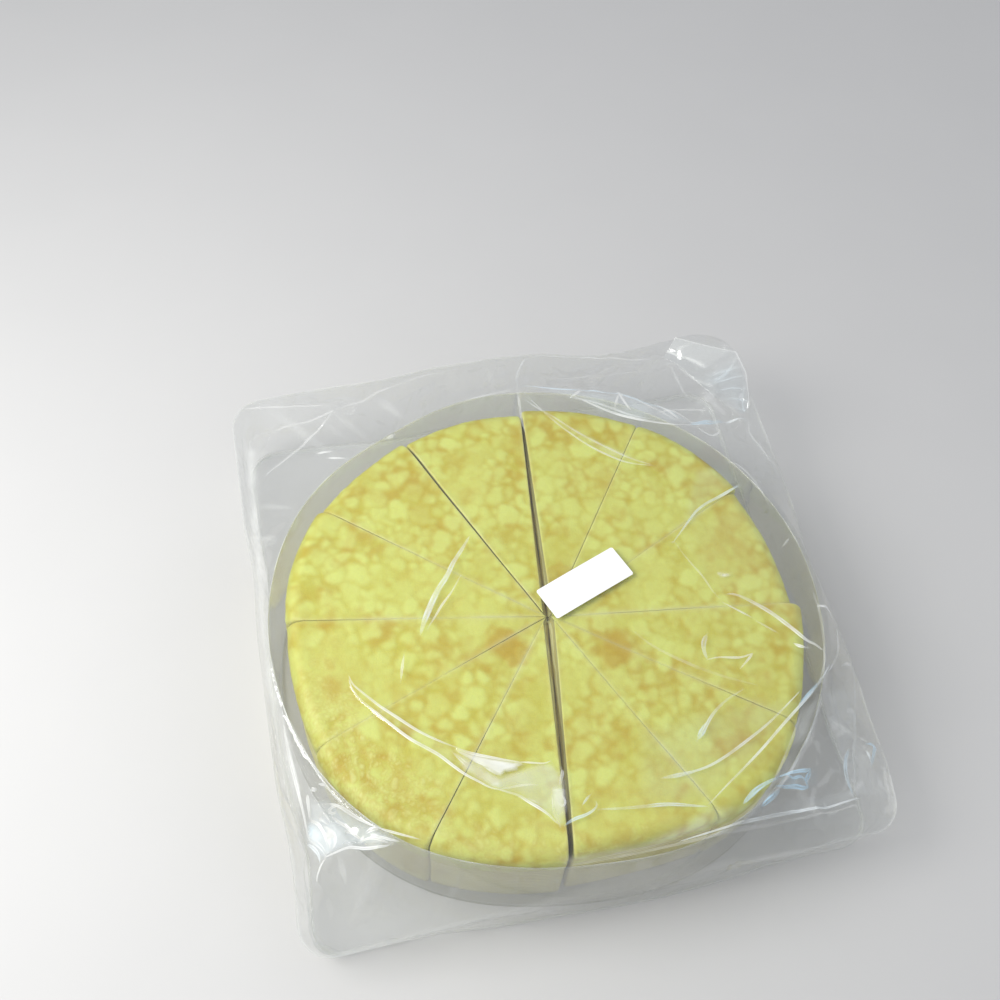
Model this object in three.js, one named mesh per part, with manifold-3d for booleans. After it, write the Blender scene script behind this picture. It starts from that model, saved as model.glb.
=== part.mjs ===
// A frozen mille crepe cake as it is packed: twelve slices that still keep the round, a clear upright
// collar round them, a clear sealed film bag over both, and a blank label on the film.
// Millimetres, +Z up. The origin is the middle of the bag's footprint, on the surface it stands on.
// Directions are angles round the cake's centre, counter-clockwise from +X, in degrees.
import * as THREE from "three";
import { mergeVertices } from "three/addons/utils/BufferGeometryUtils.js";
import Module from "manifold-3d";

const wasm = await Module();
wasm.setup();

// Driving dimensions
const GAP = 0.3; // clearance between pieces that touch
const BAG_WIDTH = 256; // along X
const BAG_DEPTH = 265; // along Y
const BAG_CORNER_RADIUS = 15;
const CAKE_CENTRE = new THREE.Vector2(-2, -16); // the cake lies nearer the bag's front
const CAKE_RADIUS = 115;
const CAKE_HEIGHT = 50;
const TOP_WAVE = { height: 0.3, acrossLength: 140, alongLength: 125 }; // two slow waves in the top
const EDGE_ROUND = { across: 7, down: 6 }; // where the top crepe drapes over the side
const FOOT_ROUND = 1.5;
const COLLAR_RADIUS = 119.7;
const COLLAR_HEIGHT = 55.5;
const COLLAR_THICKNESS = 0.6;
const KNIFE_CUT = 0.6; // between neighbouring slices
const HALVES_APART = 2.8; // the wide gap between the two halves, at the centre
const HALVES_FLARE = 0.4; // degrees by which the wide gap closes towards each end, on each side
const FILM_COVER = 0.9; // least thickness of the bag's solid
const COVER_HEIGHT = 52; // top of the film over the cake
const RIM_COVER_HEIGHT = COLLAR_HEIGHT + GAP + FILM_COVER + 0.5; // top of the film over the rim
const COVER_LIFT_RADIUS = 101; // where the film leaves the cake and climbs to the collar's rim
const RIM_WRAP = 1.5; // how far out the film passes round the collar
const FOLDS = { count: 16, height: 5, perRoom: 0.12, drift: 1.3 }; // from the collar to the edge
const EDGE_WAVES = { count: 7, depth: 2.2, perRoom: 0.15 }; // in the bag's outline, only inwards
const FOOT_INSET = { most: 6, perRoom: 0.3 }; // how far inside its edge the bag meets the floor
const LABEL_SIZE = new THREE.Vector3(42, 16.5, 0.4);
const LABEL_CENTRE = new THREE.Vector2(19.5, 12.3); // from the cake's centre
const LABEL_TURN = 22;

// The slices, counter-clockwise from the front end of the wide gap: where each one starts, and how far
// it reaches at its first corner, its middle and its last corner. Each ends where the next one starts.
const RIGHT_HALF = [
  { start: -98.1, reach: [104.8, 104.9, 111.3] },
  { start: -64.9, reach: [111.5, 116.2, 115.2] },
  { start: -36.7, reach: [114.6, 113.2, 114.6] },
  { start: -7.1, reach: [110.6, 110.6, 113.6] },
  { start: 26.1, reach: [116.2, 117.8, 117.3] },
  { start: 55.2, reach: [117.3, 116.2, 115.2] },
];
const LEFT_HALF = [
  { start: 83.6, reach: [112.4, 113.8, 113.8] },
  { start: 113.6, reach: [115.8, 115.4, 116.8] },
  { start: 140.4, reach: [118.3, 117.3, 114.5] },
  { start: 170.3, reach: [113.9, 113.5, 114.6] },
  { start: 201.2, reach: [115.6, 116.6, 114.3] },
  { start: 232.6, reach: [113.7, 109.2, 106.2] },
];
const GAP_BACK = LEFT_HALF[0].start;
const GAP_FRONT = RIGHT_HALF[0].start;

// The bag's edge stands higher at the back than at the front. Its corners and left side differ from
// that by a height, over a width in degrees either side of a direction.
const EDGE_HEIGHT = { middle: 40, backRise: 8 };
const EDGE_BUMPS = [
  { at: 48.8, width: 12, by: 11 }, // bunched film in the back right corner
  { at: 67, width: 9, by: -8 },
  { at: 131, width: 20, by: -6 }, // back left corner
  { at: 180, width: 30, by: -2 },
  { at: 222.8, width: 17, by: -17 }, // front left corner, pressed down
  { at: -41.9, width: 14, by: -4 }, // front right corner
];

// The collar is a springy strip, so it isn't quite round, and the pack has been pressed flatter in front.
const COLLAR_BUMPS = [
  { at: 150, width: 25, by: 2.3 },
  { at: 117, width: 12, by: -2.4 },
  { at: -97, width: 30, by: -8.5 },
];

// Steps round the whole of each form, and along its section
const SLICE_TURNS = 120;
const EDGE_STEPS = 4;
const TOP_RINGS = [0.7, 0.35];
const COLLAR_TURNS = 96;
const BAG_TURNS = 108;
const COVER_RINGS = [1, 0.97, 0.92, 0.87, 0.82];
const SKIRT_RINGS = [2, 1.85, 1.7, 1.5, 1.3, 1.12];
const CAVITY_TURNS = 72;
const CORNER_CROWDING = 0.14; // how much closer together the bag's steps lie at its four corners
const BISECTIONS = 30;

const radians = THREE.MathUtils.degToRad;
const degrees = THREE.MathUtils.radToDeg;
const lerp = THREE.MathUtils.lerp;

// A three.js geometry as a manifold-3d solid: only its positions, joined, without empty triangles.
function solidOf(geometry) {
  const bare = geometry.clone();
  bare.deleteAttribute("normal");
  bare.deleteAttribute("uv");
  const merged = mergeVertices(bare, 1e-4);
  const corners = merged.index.array;
  const kept = [];
  for (let i = 0; i < corners.length; i += 3) {
    const [a, b, c] = corners.slice(i, i + 3);
    if (a !== b && b !== c && c !== a) kept.push(a, b, c);
  }
  return new wasm.Manifold(
    new wasm.Mesh({
      numProp: 3,
      vertProperties: merged.attributes.position.array,
      triVerts: new Uint32Array(kept),
    }),
  );
}

// A manifold-3d solid as a three.js geometry with flat faces.
function geometryOf(solid) {
  const mesh = solid.getMesh();
  const geometry = new THREE.BufferGeometry();
  geometry.setAttribute("position", new THREE.BufferAttribute(mesh.vertProperties, 3));
  geometry.setIndex(new THREE.BufferAttribute(mesh.triVerts, 1));
  const flat = geometry.toNonIndexed();
  flat.computeVertexNormals();
  return flat;
}

// A solid of revolution about Z from [radius, height] pairs that start and end on the axis.
// place(radius, direction, height) then moves each of its points.
function turned(profile, turns, place) {
  const points = profile.map(([radius, height]) => new THREE.Vector2(radius, height));
  const geometry = new THREE.LatheGeometry(points, turns);
  geometry.rotateX(Math.PI / 2);
  const position = geometry.attributes.position;
  for (let i = 0; i < position.count; i += 1) {
    const x = position.getX(i);
    const y = position.getY(i);
    const moved = place(Math.hypot(x, y), degrees(Math.atan2(y, x)), position.getZ(i));
    position.setXYZ(i, moved.x, moved.y, moved.z);
  }
  return geometry;
}

// The point at a distance and a direction from the cake's centre.
function polar(radius, direction, height = 0) {
  const angle = radians(direction);
  return new THREE.Vector3(radius * Math.cos(angle), radius * Math.sin(angle), height);
}

// The smallest turn from one direction to another, between -180 and 180 degrees.
function turnBetween(from, to) {
  return THREE.MathUtils.euclideanModulo(to - from + 180, 360) - 180;
}

// The sum of smooth bumps at a direction.
function bumpsAt(direction, bumps) {
  const bump = ({ at, width, by }) => by * Math.exp(-((turnBetween(at, direction) / width) ** 2));
  return bumps.reduce((sum, each) => sum + bump(each), 0);
}

// The middle of the collar's wall.
function collarRadius(direction) {
  return COLLAR_RADIUS + bumpsAt(direction, COLLAR_BUMPS);
}

// One slice: the cake's round body, with this slice's own reach and height, cut to its wedge.
// The halves stand apart along the line that crosses the wide gap.
function slice({ start, reach }, end, index, side) {
  // A parabola through the reach at the two corners and the middle, held level far outside the slice.
  const reachAt = (direction) => {
    const turn = turnBetween((start + end) / 2, direction);
    const share = THREE.MathUtils.clamp(turn / ((end - start) / 2), -1.2, 1.2);
    const [first, middle, last] = reach;
    return middle + ((last - first) / 2) * share + ((first + last) / 2 - middle) * share ** 2;
  };
  // The waves start elsewhere on each slice, so neighbours differ a little in height.
  const unevenness = ({ x, y }) => {
    const across = Math.sin((2 * Math.PI * x) / TOP_WAVE.acrossLength + 1.7 * index);
    const along = Math.cos((2 * Math.PI * y) / TOP_WAVE.alongLength - 0.9 * index);
    return TOP_WAVE.height * (across + along);
  };
  const place = (radius, direction, height) => {
    const point = polar((radius * reachAt(direction)) / CAKE_RADIUS, direction, height);
    point.z *= 1 + unevenness(point) / CAKE_HEIGHT;
    return point;
  };

  const profile = [
    [0, 0],
    [CAKE_RADIUS - FOOT_ROUND, 0],
    [CAKE_RADIUS, FOOT_ROUND],
  ];
  for (let i = 0; i <= EDGE_STEPS; i += 1) {
    const angle = (Math.PI / 2) * (i / EDGE_STEPS);
    profile.push([
      CAKE_RADIUS - EDGE_ROUND.across * (1 - Math.cos(angle)),
      CAKE_HEIGHT - EDGE_ROUND.down * (1 - Math.sin(angle)),
    ]);
  }
  for (const share of [...TOP_RINGS, 0]) profile.push([CAKE_RADIUS * share, CAKE_HEIGHT]);
  const body = solidOf(turned(profile, SLICE_TURNS, place));

  // The wedge. Its point moves out of the centre by the halves' gap, and up the middle of the wedge by
  // the knife cut. The two slices beside the wide gap spread towards it at their outer ends.
  const from = start - (start === GAP_FRONT || start === GAP_BACK ? HALVES_FLARE : 0);
  const isLast = end === GAP_BACK || end === GAP_FRONT + 360;
  const to = end + (isLast ? HALVES_FLARE : 0);
  const halfAngle = radians((to - from) / 2);
  const apex = polar(side * (HALVES_APART / 2 - KNIFE_CUT / 2), GAP_BACK - 90);
  apex.add(polar(KNIFE_CUT / 2 / Math.sin(halfAngle), (from + to) / 2));
  const beyond = 1.3 * CAKE_RADIUS;
  const wedge = new THREE.Shape();
  wedge.moveTo(apex.x, apex.y);
  for (const direction of [from, (from + to) / 2, to]) {
    const corner = polar(beyond, direction).add(apex);
    wedge.lineTo(corner.x, corner.y);
  }
  const prism = new THREE.ExtrudeGeometry(wedge, { depth: 2 * CAKE_HEIGHT, bevelEnabled: false });
  prism.translate(0, 0, -CAKE_HEIGHT / 2);
  return geometryOf(body.intersect(solidOf(prism)));
}

// The collar: a thin closed wall that stands on the floor and ends a little above the cake.
function collar() {
  const ring = (offset) => {
    const points = [];
    for (let i = 0; i < COLLAR_TURNS; i += 1) {
      const direction = (i / COLLAR_TURNS) * 360;
      const point = polar(collarRadius(direction) + offset, direction);
      points.push(new THREE.Vector2(point.x, point.y));
    }
    return points;
  };
  const outline = new THREE.Shape(ring(COLLAR_THICKNESS / 2));
  outline.holes.push(new THREE.Path(ring(-COLLAR_THICKNESS / 2)));
  return new THREE.ExtrudeGeometry(outline, { depth: COLLAR_HEIGHT, bevelEnabled: false });
}

// Where the film has passed over the collar's rim and starts down.
function rimRadius(direction) {
  return collarRadius(direction) + RIM_WRAP;
}

// How far the bag's outline, a rectangle with round corners that waves a little, lies from the cake's
// centre in a direction.
function outlineRadius(direction) {
  const outside = (radius) => {
    const point = polar(radius, direction);
    const x = Math.abs(point.x + CAKE_CENTRE.x) - (BAG_WIDTH / 2 - BAG_CORNER_RADIUS);
    const y = Math.abs(point.y + CAKE_CENTRE.y) - (BAG_DEPTH / 2 - BAG_CORNER_RADIUS);
    return Math.hypot(Math.max(x, 0), Math.max(y, 0)) > BAG_CORNER_RADIUS;
  };
  let inner = 0;
  let outer = BAG_WIDTH;
  for (let i = 0; i < BISECTIONS; i += 1) {
    const middle = (inner + outer) / 2;
    if (outside(middle)) outer = middle;
    else inner = middle;
  }
  const room = inner - rimRadius(direction);
  const wave = Math.max(0, Math.sin(radians(EDGE_WAVES.count * direction) + 0.8)) ** 2;
  return inner - Math.min(EDGE_WAVES.depth, EDGE_WAVES.perRoom * room) * wave;
}

// Where the bag meets the floor in a direction: inside its edge, but outside the collar.
function footRadius(direction) {
  const outline = outlineRadius(direction);
  return outline - Math.min(FOOT_INSET.most, FOOT_INSET.perRoom * (outline - rimRadius(direction)));
}

// A point of the bag's outer face. ring runs from 0 at the middle over the cake to 1 at the collar's
// rim and 2 at the bag's edge.
function filmPoint(ring, direction) {
  const rim = rimRadius(direction);
  if (ring <= 1) {
    const radius = ring * rim;
    const climb = THREE.MathUtils.smoothstep(radius, COVER_LIFT_RADIUS, rim - 2 * RIM_WRAP);
    return polar(radius, direction, lerp(COVER_HEIGHT, RIM_COVER_HEIGHT, climb));
  }
  const out = ring - 1;
  const room = outlineRadius(direction) - rim;
  const angle = radians(direction);
  const edge = EDGE_HEIGHT.middle + EDGE_HEIGHT.backRise * Math.sin(angle);
  const slope = lerp(RIM_COVER_HEIGHT, edge + bumpsAt(direction, EDGE_BUMPS), out);
  // Each ridge is sharp below and round above, and its way round the bag drifts off an even spacing.
  const ridge = Math.abs(Math.sin((FOLDS.count / 2) * angle + FOLDS.drift * Math.sin(3 * angle))) - 0.6;
  const fold = Math.min(FOLDS.height, FOLDS.perRoom * room) * ridge * Math.sin(Math.PI * out);
  return polar(rim + out * room, direction, slope + fold);
}

// The bag: its solid reaches out to the film all round, and is hollow, open below, for cake and collar.
function bag() {
  // In this profile a height of 0 is the foot, whose ring is 1, and a height of 1 is the film.
  const film = [...SKIRT_RINGS, ...COVER_RINGS, 0].map((ring) => [ring, 1]);
  const outer = turned([[0, 0], [1, 0], ...film], BAG_TURNS, (ring, step, height) => {
    const direction = step - degrees(CORNER_CROWDING * Math.sin(radians(4 * (step - 45))));
    if (height > 0.5) return filmPoint(ring, direction);
    return polar(ring * footRadius(direction), direction, 0);
  });

  const wall = COLLAR_RADIUS + COLLAR_THICKNESS / 2 + GAP;
  const ceiling = COVER_HEIGHT - FILM_COVER;
  const rim = COLLAR_HEIGHT + GAP;
  const section = [
    [0, -1],
    [wall, -1],
    [wall, rim],
    [wall - 2 * (COLLAR_THICKNESS + GAP), rim],
    [COVER_LIFT_RADIUS + 8, ceiling + FILM_COVER],
    [COVER_LIFT_RADIUS + 2, ceiling],
    [0, ceiling],
  ];
  const cavity = turned(section, CAVITY_TURNS, (radius, direction, height) => {
    const outOfRound = radius > CAKE_RADIUS ? bumpsAt(direction, COLLAR_BUMPS) : 0;
    return polar(radius + outOfRound, direction, height);
  });
  return geometryOf(solidOf(outer).subtract(solidOf(cavity)));
}

// The blank label that lies on the film near the middle.
function label() {
  return new THREE.BoxGeometry(LABEL_SIZE.x, LABEL_SIZE.y, LABEL_SIZE.z);
}

const crepe = { color: 0xe9e38e, roughness: 0.6, metalness: 0 };
const clearPlastic = { color: 0xf2f6f5, roughness: 0.1, metalness: 0, transparent: true, opacity: 0.3 };
const clearFilm = { color: 0xf6f9fa, roughness: 0.08, metalness: 0, transparent: true, opacity: 0.25 };
const whitePaper = { color: 0xfcfcfa, roughness: 0.7, metalness: 0 };

function piece(name, geometry, finish) {
  const mesh = new THREE.Mesh(geometry, new THREE.MeshStandardMaterial(finish));
  mesh.name = name;
  return mesh;
}

const contents = new THREE.Group();
contents.position.set(CAKE_CENTRE.x, CAKE_CENTRE.y, 0);

const halves = [
  { slices: RIGHT_HALF, end: GAP_BACK, side: 1, name: "slice_right" },
  { slices: LEFT_HALF, end: GAP_FRONT + 360, side: -1, name: "slice_left" },
];
for (const { slices, end, side, name } of halves) {
  slices.forEach((each, i) => {
    const sliceEnd = i + 1 < slices.length ? slices[i + 1].start : end;
    const geometry = slice(each, sliceEnd, i + (side > 0 ? 0 : slices.length), side);
    contents.add(piece(`${name}_${i + 1}`, geometry, crepe));
  });
}

contents.add(piece("collar", collar(), clearPlastic));
contents.add(piece("bag", bag(), clearFilm));

const labelPiece = piece("label", label(), whitePaper);
labelPiece.position.set(LABEL_CENTRE.x, LABEL_CENTRE.y, COVER_HEIGHT + GAP + LABEL_SIZE.z / 2);
labelPiece.rotation.z = radians(LABEL_TURN);
contents.add(labelPiece);

const crepeCake = new THREE.Group();
crepeCake.add(contents);

export default crepeCake;
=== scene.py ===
"""The looks of a frozen mille crepe cake as it is packed: twelve slices in a clear collar and a clear
sealed bag, with a blank label. Shapes are worked out in millimetres, with +Z up, and meshes are in metres.
Directions are angles round the cake's centre, counter-clockwise from +X, in degrees."""

import math

import bpy
import numpy as np
from mathutils import Matrix, Vector
from mathutils.bvhtree import BVHTree
from mathutils.geometry import delaunay_2d_cdt


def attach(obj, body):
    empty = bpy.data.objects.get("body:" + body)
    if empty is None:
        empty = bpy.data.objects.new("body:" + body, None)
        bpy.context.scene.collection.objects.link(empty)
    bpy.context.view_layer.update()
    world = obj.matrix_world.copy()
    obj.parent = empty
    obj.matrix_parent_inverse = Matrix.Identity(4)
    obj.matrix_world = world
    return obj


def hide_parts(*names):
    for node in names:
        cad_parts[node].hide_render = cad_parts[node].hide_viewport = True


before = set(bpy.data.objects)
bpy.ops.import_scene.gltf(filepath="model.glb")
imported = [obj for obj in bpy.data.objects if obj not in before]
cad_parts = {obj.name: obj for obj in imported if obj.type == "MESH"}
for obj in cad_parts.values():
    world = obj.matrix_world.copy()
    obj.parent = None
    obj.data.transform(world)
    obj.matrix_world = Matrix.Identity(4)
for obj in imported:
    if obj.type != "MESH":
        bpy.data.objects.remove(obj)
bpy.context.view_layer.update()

MM = 0.001

# The part's own dimensions
BAG_SIZE = np.array([256.0, 265.0])
BAG_CORNER_RADIUS = 15.0
CAKE_CENTRE = np.array([-2.0, -16.0])
CAKE_RADIUS = 115.0
CAKE_HEIGHT = 50.0
TOP_WAVE = {"height": 0.3, "across": 140.0, "along": 125.0}
EDGE_ROUND = {"across": 7.0, "down": 6.0}
COLLAR_RADIUS = 119.7
COLLAR_HEIGHT = 55.5
COLLAR_THICKNESS = 0.6
KNIFE_CUT = 0.6
HALVES_APART = 2.8
HALVES_FLARE = 0.4
COVER_LIFT_RADIUS = 101.0
RIM_WRAP = 1.5
FOLDS = {"count": 16, "height": 5.0, "per_room": 0.12, "drift": 1.3}
EDGE_WAVES = {"count": 7, "depth": 2.2, "per_room": 0.15}
FOOT_INSET = {"most": 6.0, "per_room": 0.3}
FLOOR_CLEARANCE = 0.3
LABEL_SIZE = (42.0, 16.5)
LABEL_CENTRE = np.array([19.5, 12.3])
LABEL_TURN = 22.0
RIGHT_HALF = [
    (-98.1, (104.8, 104.9, 111.3)),
    (-64.9, (111.5, 116.2, 115.2)),
    (-36.7, (114.6, 113.2, 114.6)),
    (-7.1, (110.6, 110.6, 113.6)),
    (26.1, (116.2, 117.8, 117.3)),
    (55.2, (117.3, 116.2, 115.2)),
]
LEFT_HALF = [
    (83.6, (112.4, 113.8, 113.8)),
    (113.6, (115.8, 115.4, 116.8)),
    (140.4, (118.3, 117.3, 114.5)),
    (170.3, (113.9, 113.5, 114.6)),
    (201.2, (115.6, 116.6, 114.3)),
    (232.6, (113.7, 109.2, 106.2)),
]
GAP_BACK = LEFT_HALF[0][0]
GAP_FRONT = RIGHT_HALF[0][0]
EDGE_HEIGHT = {"middle": 40.0, "back_rise": 8.0}
EDGE_BUMPS = [(48.8, 12.0, 11.0), (67.0, 9.0, -8.0), (131.0, 20.0, -6.0), (180.0, 30.0, -2.0),
              (222.8, 17.0, -17.0), (-41.9, 14.0, -4.0)]
COLLAR_BUMPS = [(150.0, 25.0, 2.3), (117.0, 12.0, -2.4), (-97.0, 30.0, -8.5)]

# The camera, fitted to the cake's round top and the collar's round rim
CAMERA_PLACE = Vector((-95.56, -252.98, 528.76)) * MM
CAMERA_RIGHT = Vector((0.97707, -0.20839, 0.04358))
CAMERA_UP = Vector((0.15169, 0.82504, 0.54433))
CAMERA_AHEAD = Vector((0.14939, 0.52524, -0.83774))
FOCAL_PIXELS = 1232.8
PICTURE_PIXELS = 1000
SENSOR_WIDTH = 36.0


# ---------------------------------------------------------------- Directions and outlines

def turn_between(start, end):
    """The smallest turn from one direction to another, -180 to 180 degrees."""
    return (np.asarray(end) - start + 180.0) % 360.0 - 180.0


def bumps_at(direction, bumps):
    """The sum of smooth bumps at a direction."""
    return sum(by * np.exp(-(turn_between(at, direction) / width) ** 2) for at, width, by in bumps)


def smoothstep(value, low, high):
    share = np.clip((value - low) / (high - low), 0.0, 1.0)
    return share * share * (3.0 - 2.0 * share)


def polar(radius, direction):
    angle = np.radians(direction)
    return np.stack([radius * np.cos(angle), radius * np.sin(angle)], -1)


def direction_of(xy):
    return np.degrees(np.arctan2(xy[..., 1], xy[..., 0]))


def collar_radius(direction):
    """How far the collar's middle lies from the cake's centre."""
    return COLLAR_RADIUS + bumps_at(direction, COLLAR_BUMPS)


def rim_radius(direction):
    """Where the film has passed over the collar's rim and starts down."""
    return collar_radius(direction) + RIM_WRAP


def outline_radius(direction):
    """How far the bag's outline lies from the cake's centre."""
    direction = np.asarray(direction, float)
    inner = np.zeros_like(direction)
    outer = np.full_like(direction, BAG_SIZE[0])
    for _ in range(26):
        middle = (inner + outer) / 2
        past = np.abs(polar(middle, direction) + CAKE_CENTRE) - (BAG_SIZE / 2 - BAG_CORNER_RADIUS)
        outside = np.hypot(*np.moveaxis(np.maximum(past, 0), -1, 0)) > BAG_CORNER_RADIUS
        outer = np.where(outside, middle, outer)
        inner = np.where(outside, inner, middle)
    room = inner - rim_radius(direction)
    wave = np.maximum(0, np.sin(np.radians(EDGE_WAVES["count"] * direction) + 0.8)) ** 2
    return inner - np.minimum(EDGE_WAVES["depth"], EDGE_WAVES["per_room"] * room) * wave


def foot_radius(direction):
    """Where the bag meets the floor, inside its edge."""
    outline = outline_radius(direction)
    room = outline - rim_radius(direction)
    return outline - np.minimum(FOOT_INSET["most"], FOOT_INSET["per_room"] * room)


# ---------------------------------------------------------------- Random fields over the plan

FIELD_STEP = 0.4
FIELD_REACH = 180.0
FIELD_COUNT = int(2 * FIELD_REACH / FIELD_STEP)
FIELD_AXIS = (np.arange(FIELD_COUNT) + 0.5) * FIELD_STEP - FIELD_REACH
FIELD_X, FIELD_Y = np.meshgrid(FIELD_AXIS, FIELD_AXIS)
FREQUENCY = np.fft.fftfreq(FIELD_COUNT, FIELD_STEP)
FREQUENCY_SQUARED = np.add.outer(FREQUENCY ** 2, FREQUENCY ** 2)
BLOBS_PER_WAVE = 2.2
BLURS_PER_WAVE = 1.4


def without_waves(field, length):
    """The field with its waves shorter than a length in mm faded out."""
    return np.fft.ifft2(np.fft.fft2(field) * np.exp(-(length ** 2) * FREQUENCY_SQUARED)).real


def cloud(size, seed):
    """A smooth random field over the plan with a spread of 1. size is its blobs' width in mm."""
    noise = np.random.default_rng(seed).standard_normal((FIELD_COUNT, FIELD_COUNT))
    field = without_waves(noise, math.pi * size / BLOBS_PER_WAVE)
    return field / field.std()


def softened(field, width):
    """The field blurred over a width in mm."""
    return without_waves(field, math.pi * width / BLURS_PER_WAVE)


def sample(field, xy):
    """The field at points in mm from the cake's centre, blended between its cells."""
    place = (xy + FIELD_REACH) / FIELD_STEP - 0.5
    place = np.clip(place, 0, FIELD_COUNT - 1.001)
    low = place.astype(int)
    share = place - low
    x, y = low[..., 0], low[..., 1]
    sx, sy = share[..., 0], share[..., 1]
    near = field[y, x] * (1 - sx) + field[y, x + 1] * sx
    far = field[y + 1, x] * (1 - sx) + field[y + 1, x + 1] * sx
    return near * (1 - sy) + far * sy


# ---------------------------------------------------------------- Crepe pattern

# Pale cells of the crepe: radius classes in mm, from the largest, with the tries made for each
CELL_CLASSES = [(5.0, 300), (4.2, 800), (3.4, 2200), (2.6, 5500), (1.9, 9000), (1.3, 12000)]
BUBBLE_CLASSES = [(0.8, 9000), (0.5, 16000)]
# Browned patches: their place from the cake's centre, their width in mm, and how brown they are
BLOTCHES = [((-22.0, -10.0), 13.0, 1.0), ((26.0, -22.0), 14.0, 1.0), ((-12.0, -3.0), 8.0, 0.5),
            ((9.0, 21.0), 7.0, 0.6)]


def crepe_pattern():
    """Fields of the top crepe: how pale, how browned, and the fine bubbles."""
    rng = np.random.default_rng(11)
    bend_x, bend_y = 0.8 * cloud(5.0, 31), 0.8 * cloud(5.0, 32)
    window = int(11.0 / FIELD_STEP)

    def cells(classes, area, overlap, reach, far):
        """Round cells thrown until they fill an area: each place's distance into its own cell and from the
        next one, in mm, and its cell's tone from 0 to 1."""
        first = np.full((FIELD_COUNT, FIELD_COUNT), far)
        second = first.copy()
        tone = np.full_like(first, 0.5)
        for size, tries in classes:
            for x, y, wobble, value in rng.random((tries, 4)):
                x, y = (2 * x - 1) * reach, (2 * y - 1) * reach
                i = int((x + FIELD_REACH) / FIELD_STEP)
                j = int((y + FIELD_REACH) / FIELD_STEP)
                radius = size * (0.8 + 0.4 * wobble)
                if area[j, i] < 0.5 or first[j, i] < radius * (1 - overlap):
                    continue
                near = (slice(max(j - window, 0), j + window), slice(max(i - window, 0), i + window))
                away = np.hypot(FIELD_X[near] + bend_x[near] - x, FIELD_Y[near] + bend_y[near] - y) - radius
                here = first[near]
                tone[near] = np.where(away < here, value, tone[near])
                second[near] = np.minimum(second[near], np.maximum(away, here))
                first[near] = np.minimum(here, away)
        return first, second, tone

    # Fine bubbles lie at the front left edge, and fewer of them in front
    radius = np.hypot(FIELD_X, FIELD_Y)
    direction = np.degrees(np.arctan2(FIELD_Y, FIELD_X))
    bubbly = smoothstep(radius + 3 * cloud(14, 4), 84, 97)
    bubbly = bubbly * np.exp(-(turn_between(210, direction) / 26) ** 2)
    in_front = np.abs(turn_between(252, direction)) < 30
    bubbly = np.maximum(bubbly, 0.5 * smoothstep(radius, 92, 101) * in_front)
    first, second, tone = cells(CELL_CLASSES, np.ones_like(radius), overlap=0.15, reach=150.0, far=9.0)
    bubble_area = (bubbly + 0.25 * cloud(7, 6) > 0.35).astype(float)
    bubble, _, bubble_tone = cells(BUBBLE_CLASSES, bubble_area, overlap=-0.3, reach=118.0, far=3.0)

    # The pale cells inside their golden net, which is wider in places, and blurred away in others
    net = 0.4 * cloud(16.0, 8) + 0.3 * cloud(4.0, 7) - 0.22
    depth = np.minimum((second - first) / 2 - net, 0.8 - 0.5 * net - first)
    pale = softened(smoothstep(depth, -0.9, 2.1) * (0.6 + 0.4 * tone), 1.2)
    mottle = smoothstep(cloud(20, 9) + 0.5 * cloud(8, 10), 0.1, 2.0)
    even = smoothstep(cloud(28, 50) + 0.3 * cloud(9, 51), 0.2, 1.6)
    pale = np.clip(1.15 * pale * (1.0 - 0.5 * mottle), 0, 1)
    pale += 0.6 * even * (0.62 - pale)
    bubbles = smoothstep(-bubble, -0.25, 0.3) * (0.5 + 0.5 * bubble_tone)
    rims = np.exp(-((bubble - 0.25) / 0.3) ** 2)

    # Browner arcs near the edge, faint blotches, brown between the bubbles, and the two spots
    browner = bumps_at(direction, [(158.0, 45.0, 1.0), (10.0, 40.0, 0.5)])
    brown = np.exp(-((radius - 100.5 - 4.0 * cloud(18, 12)) / 3.2) ** 2)
    brown *= smoothstep(cloud(14, 13) + 0.6 * cloud(5, 14) + browner, 0.1, 1.5)
    brown = np.maximum(brown, 0.6 * smoothstep(cloud(12, 15) + 0.6 * cloud(4, 19), 0.4, 2.2))
    brown = np.maximum(brown, 0.55 * bubbly * smoothstep(cloud(6, 20), -0.3, 1.2))
    brown = softened(brown * (1.0 - 0.8 * pale), 0.9)
    edge = 1.8 * cloud(9, 16) + 1.4 * cloud(4, 35)
    for (x, y), width, strength in BLOTCHES:
        spot = np.hypot(FIELD_X - x, (FIELD_Y - y) * 1.15) + edge
        brown = np.maximum(brown, strength * smoothstep(-spot, -width, -width * 0.4) * (1.0 - 0.2 * pale))
    golden = 0.5 + 0.5 * np.tanh(0.9 * cloud(20, 17) + 0.6 * cloud(5, 18))
    fields = {"pale": pale, "brown": brown, "golden": golden}
    return fields | {"bubbles": bubbles * bubbly, "rims": rims * bubbly}


# ---------------------------------------------------------------- Meshes

def add_mesh(name, points, faces, attributes=None):
    """A closed mesh from points in mm in the part's frame, with float attributes by name."""
    mesh = bpy.data.meshes.new(name)
    mesh.from_pydata((np.asarray(points) * MM).tolist(), [], faces)
    mesh.polygons.foreach_set("use_smooth", [True] * len(mesh.polygons))
    for key, values in (attributes or {}).items():
        layer = mesh.attributes.new(key, "FLOAT", "POINT")
        layer.data.foreach_set("value", np.asarray(values, np.float32))
    mesh.update()
    made = bpy.data.objects.new(name, mesh)
    bpy.context.scene.collection.objects.link(made)
    return made


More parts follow.
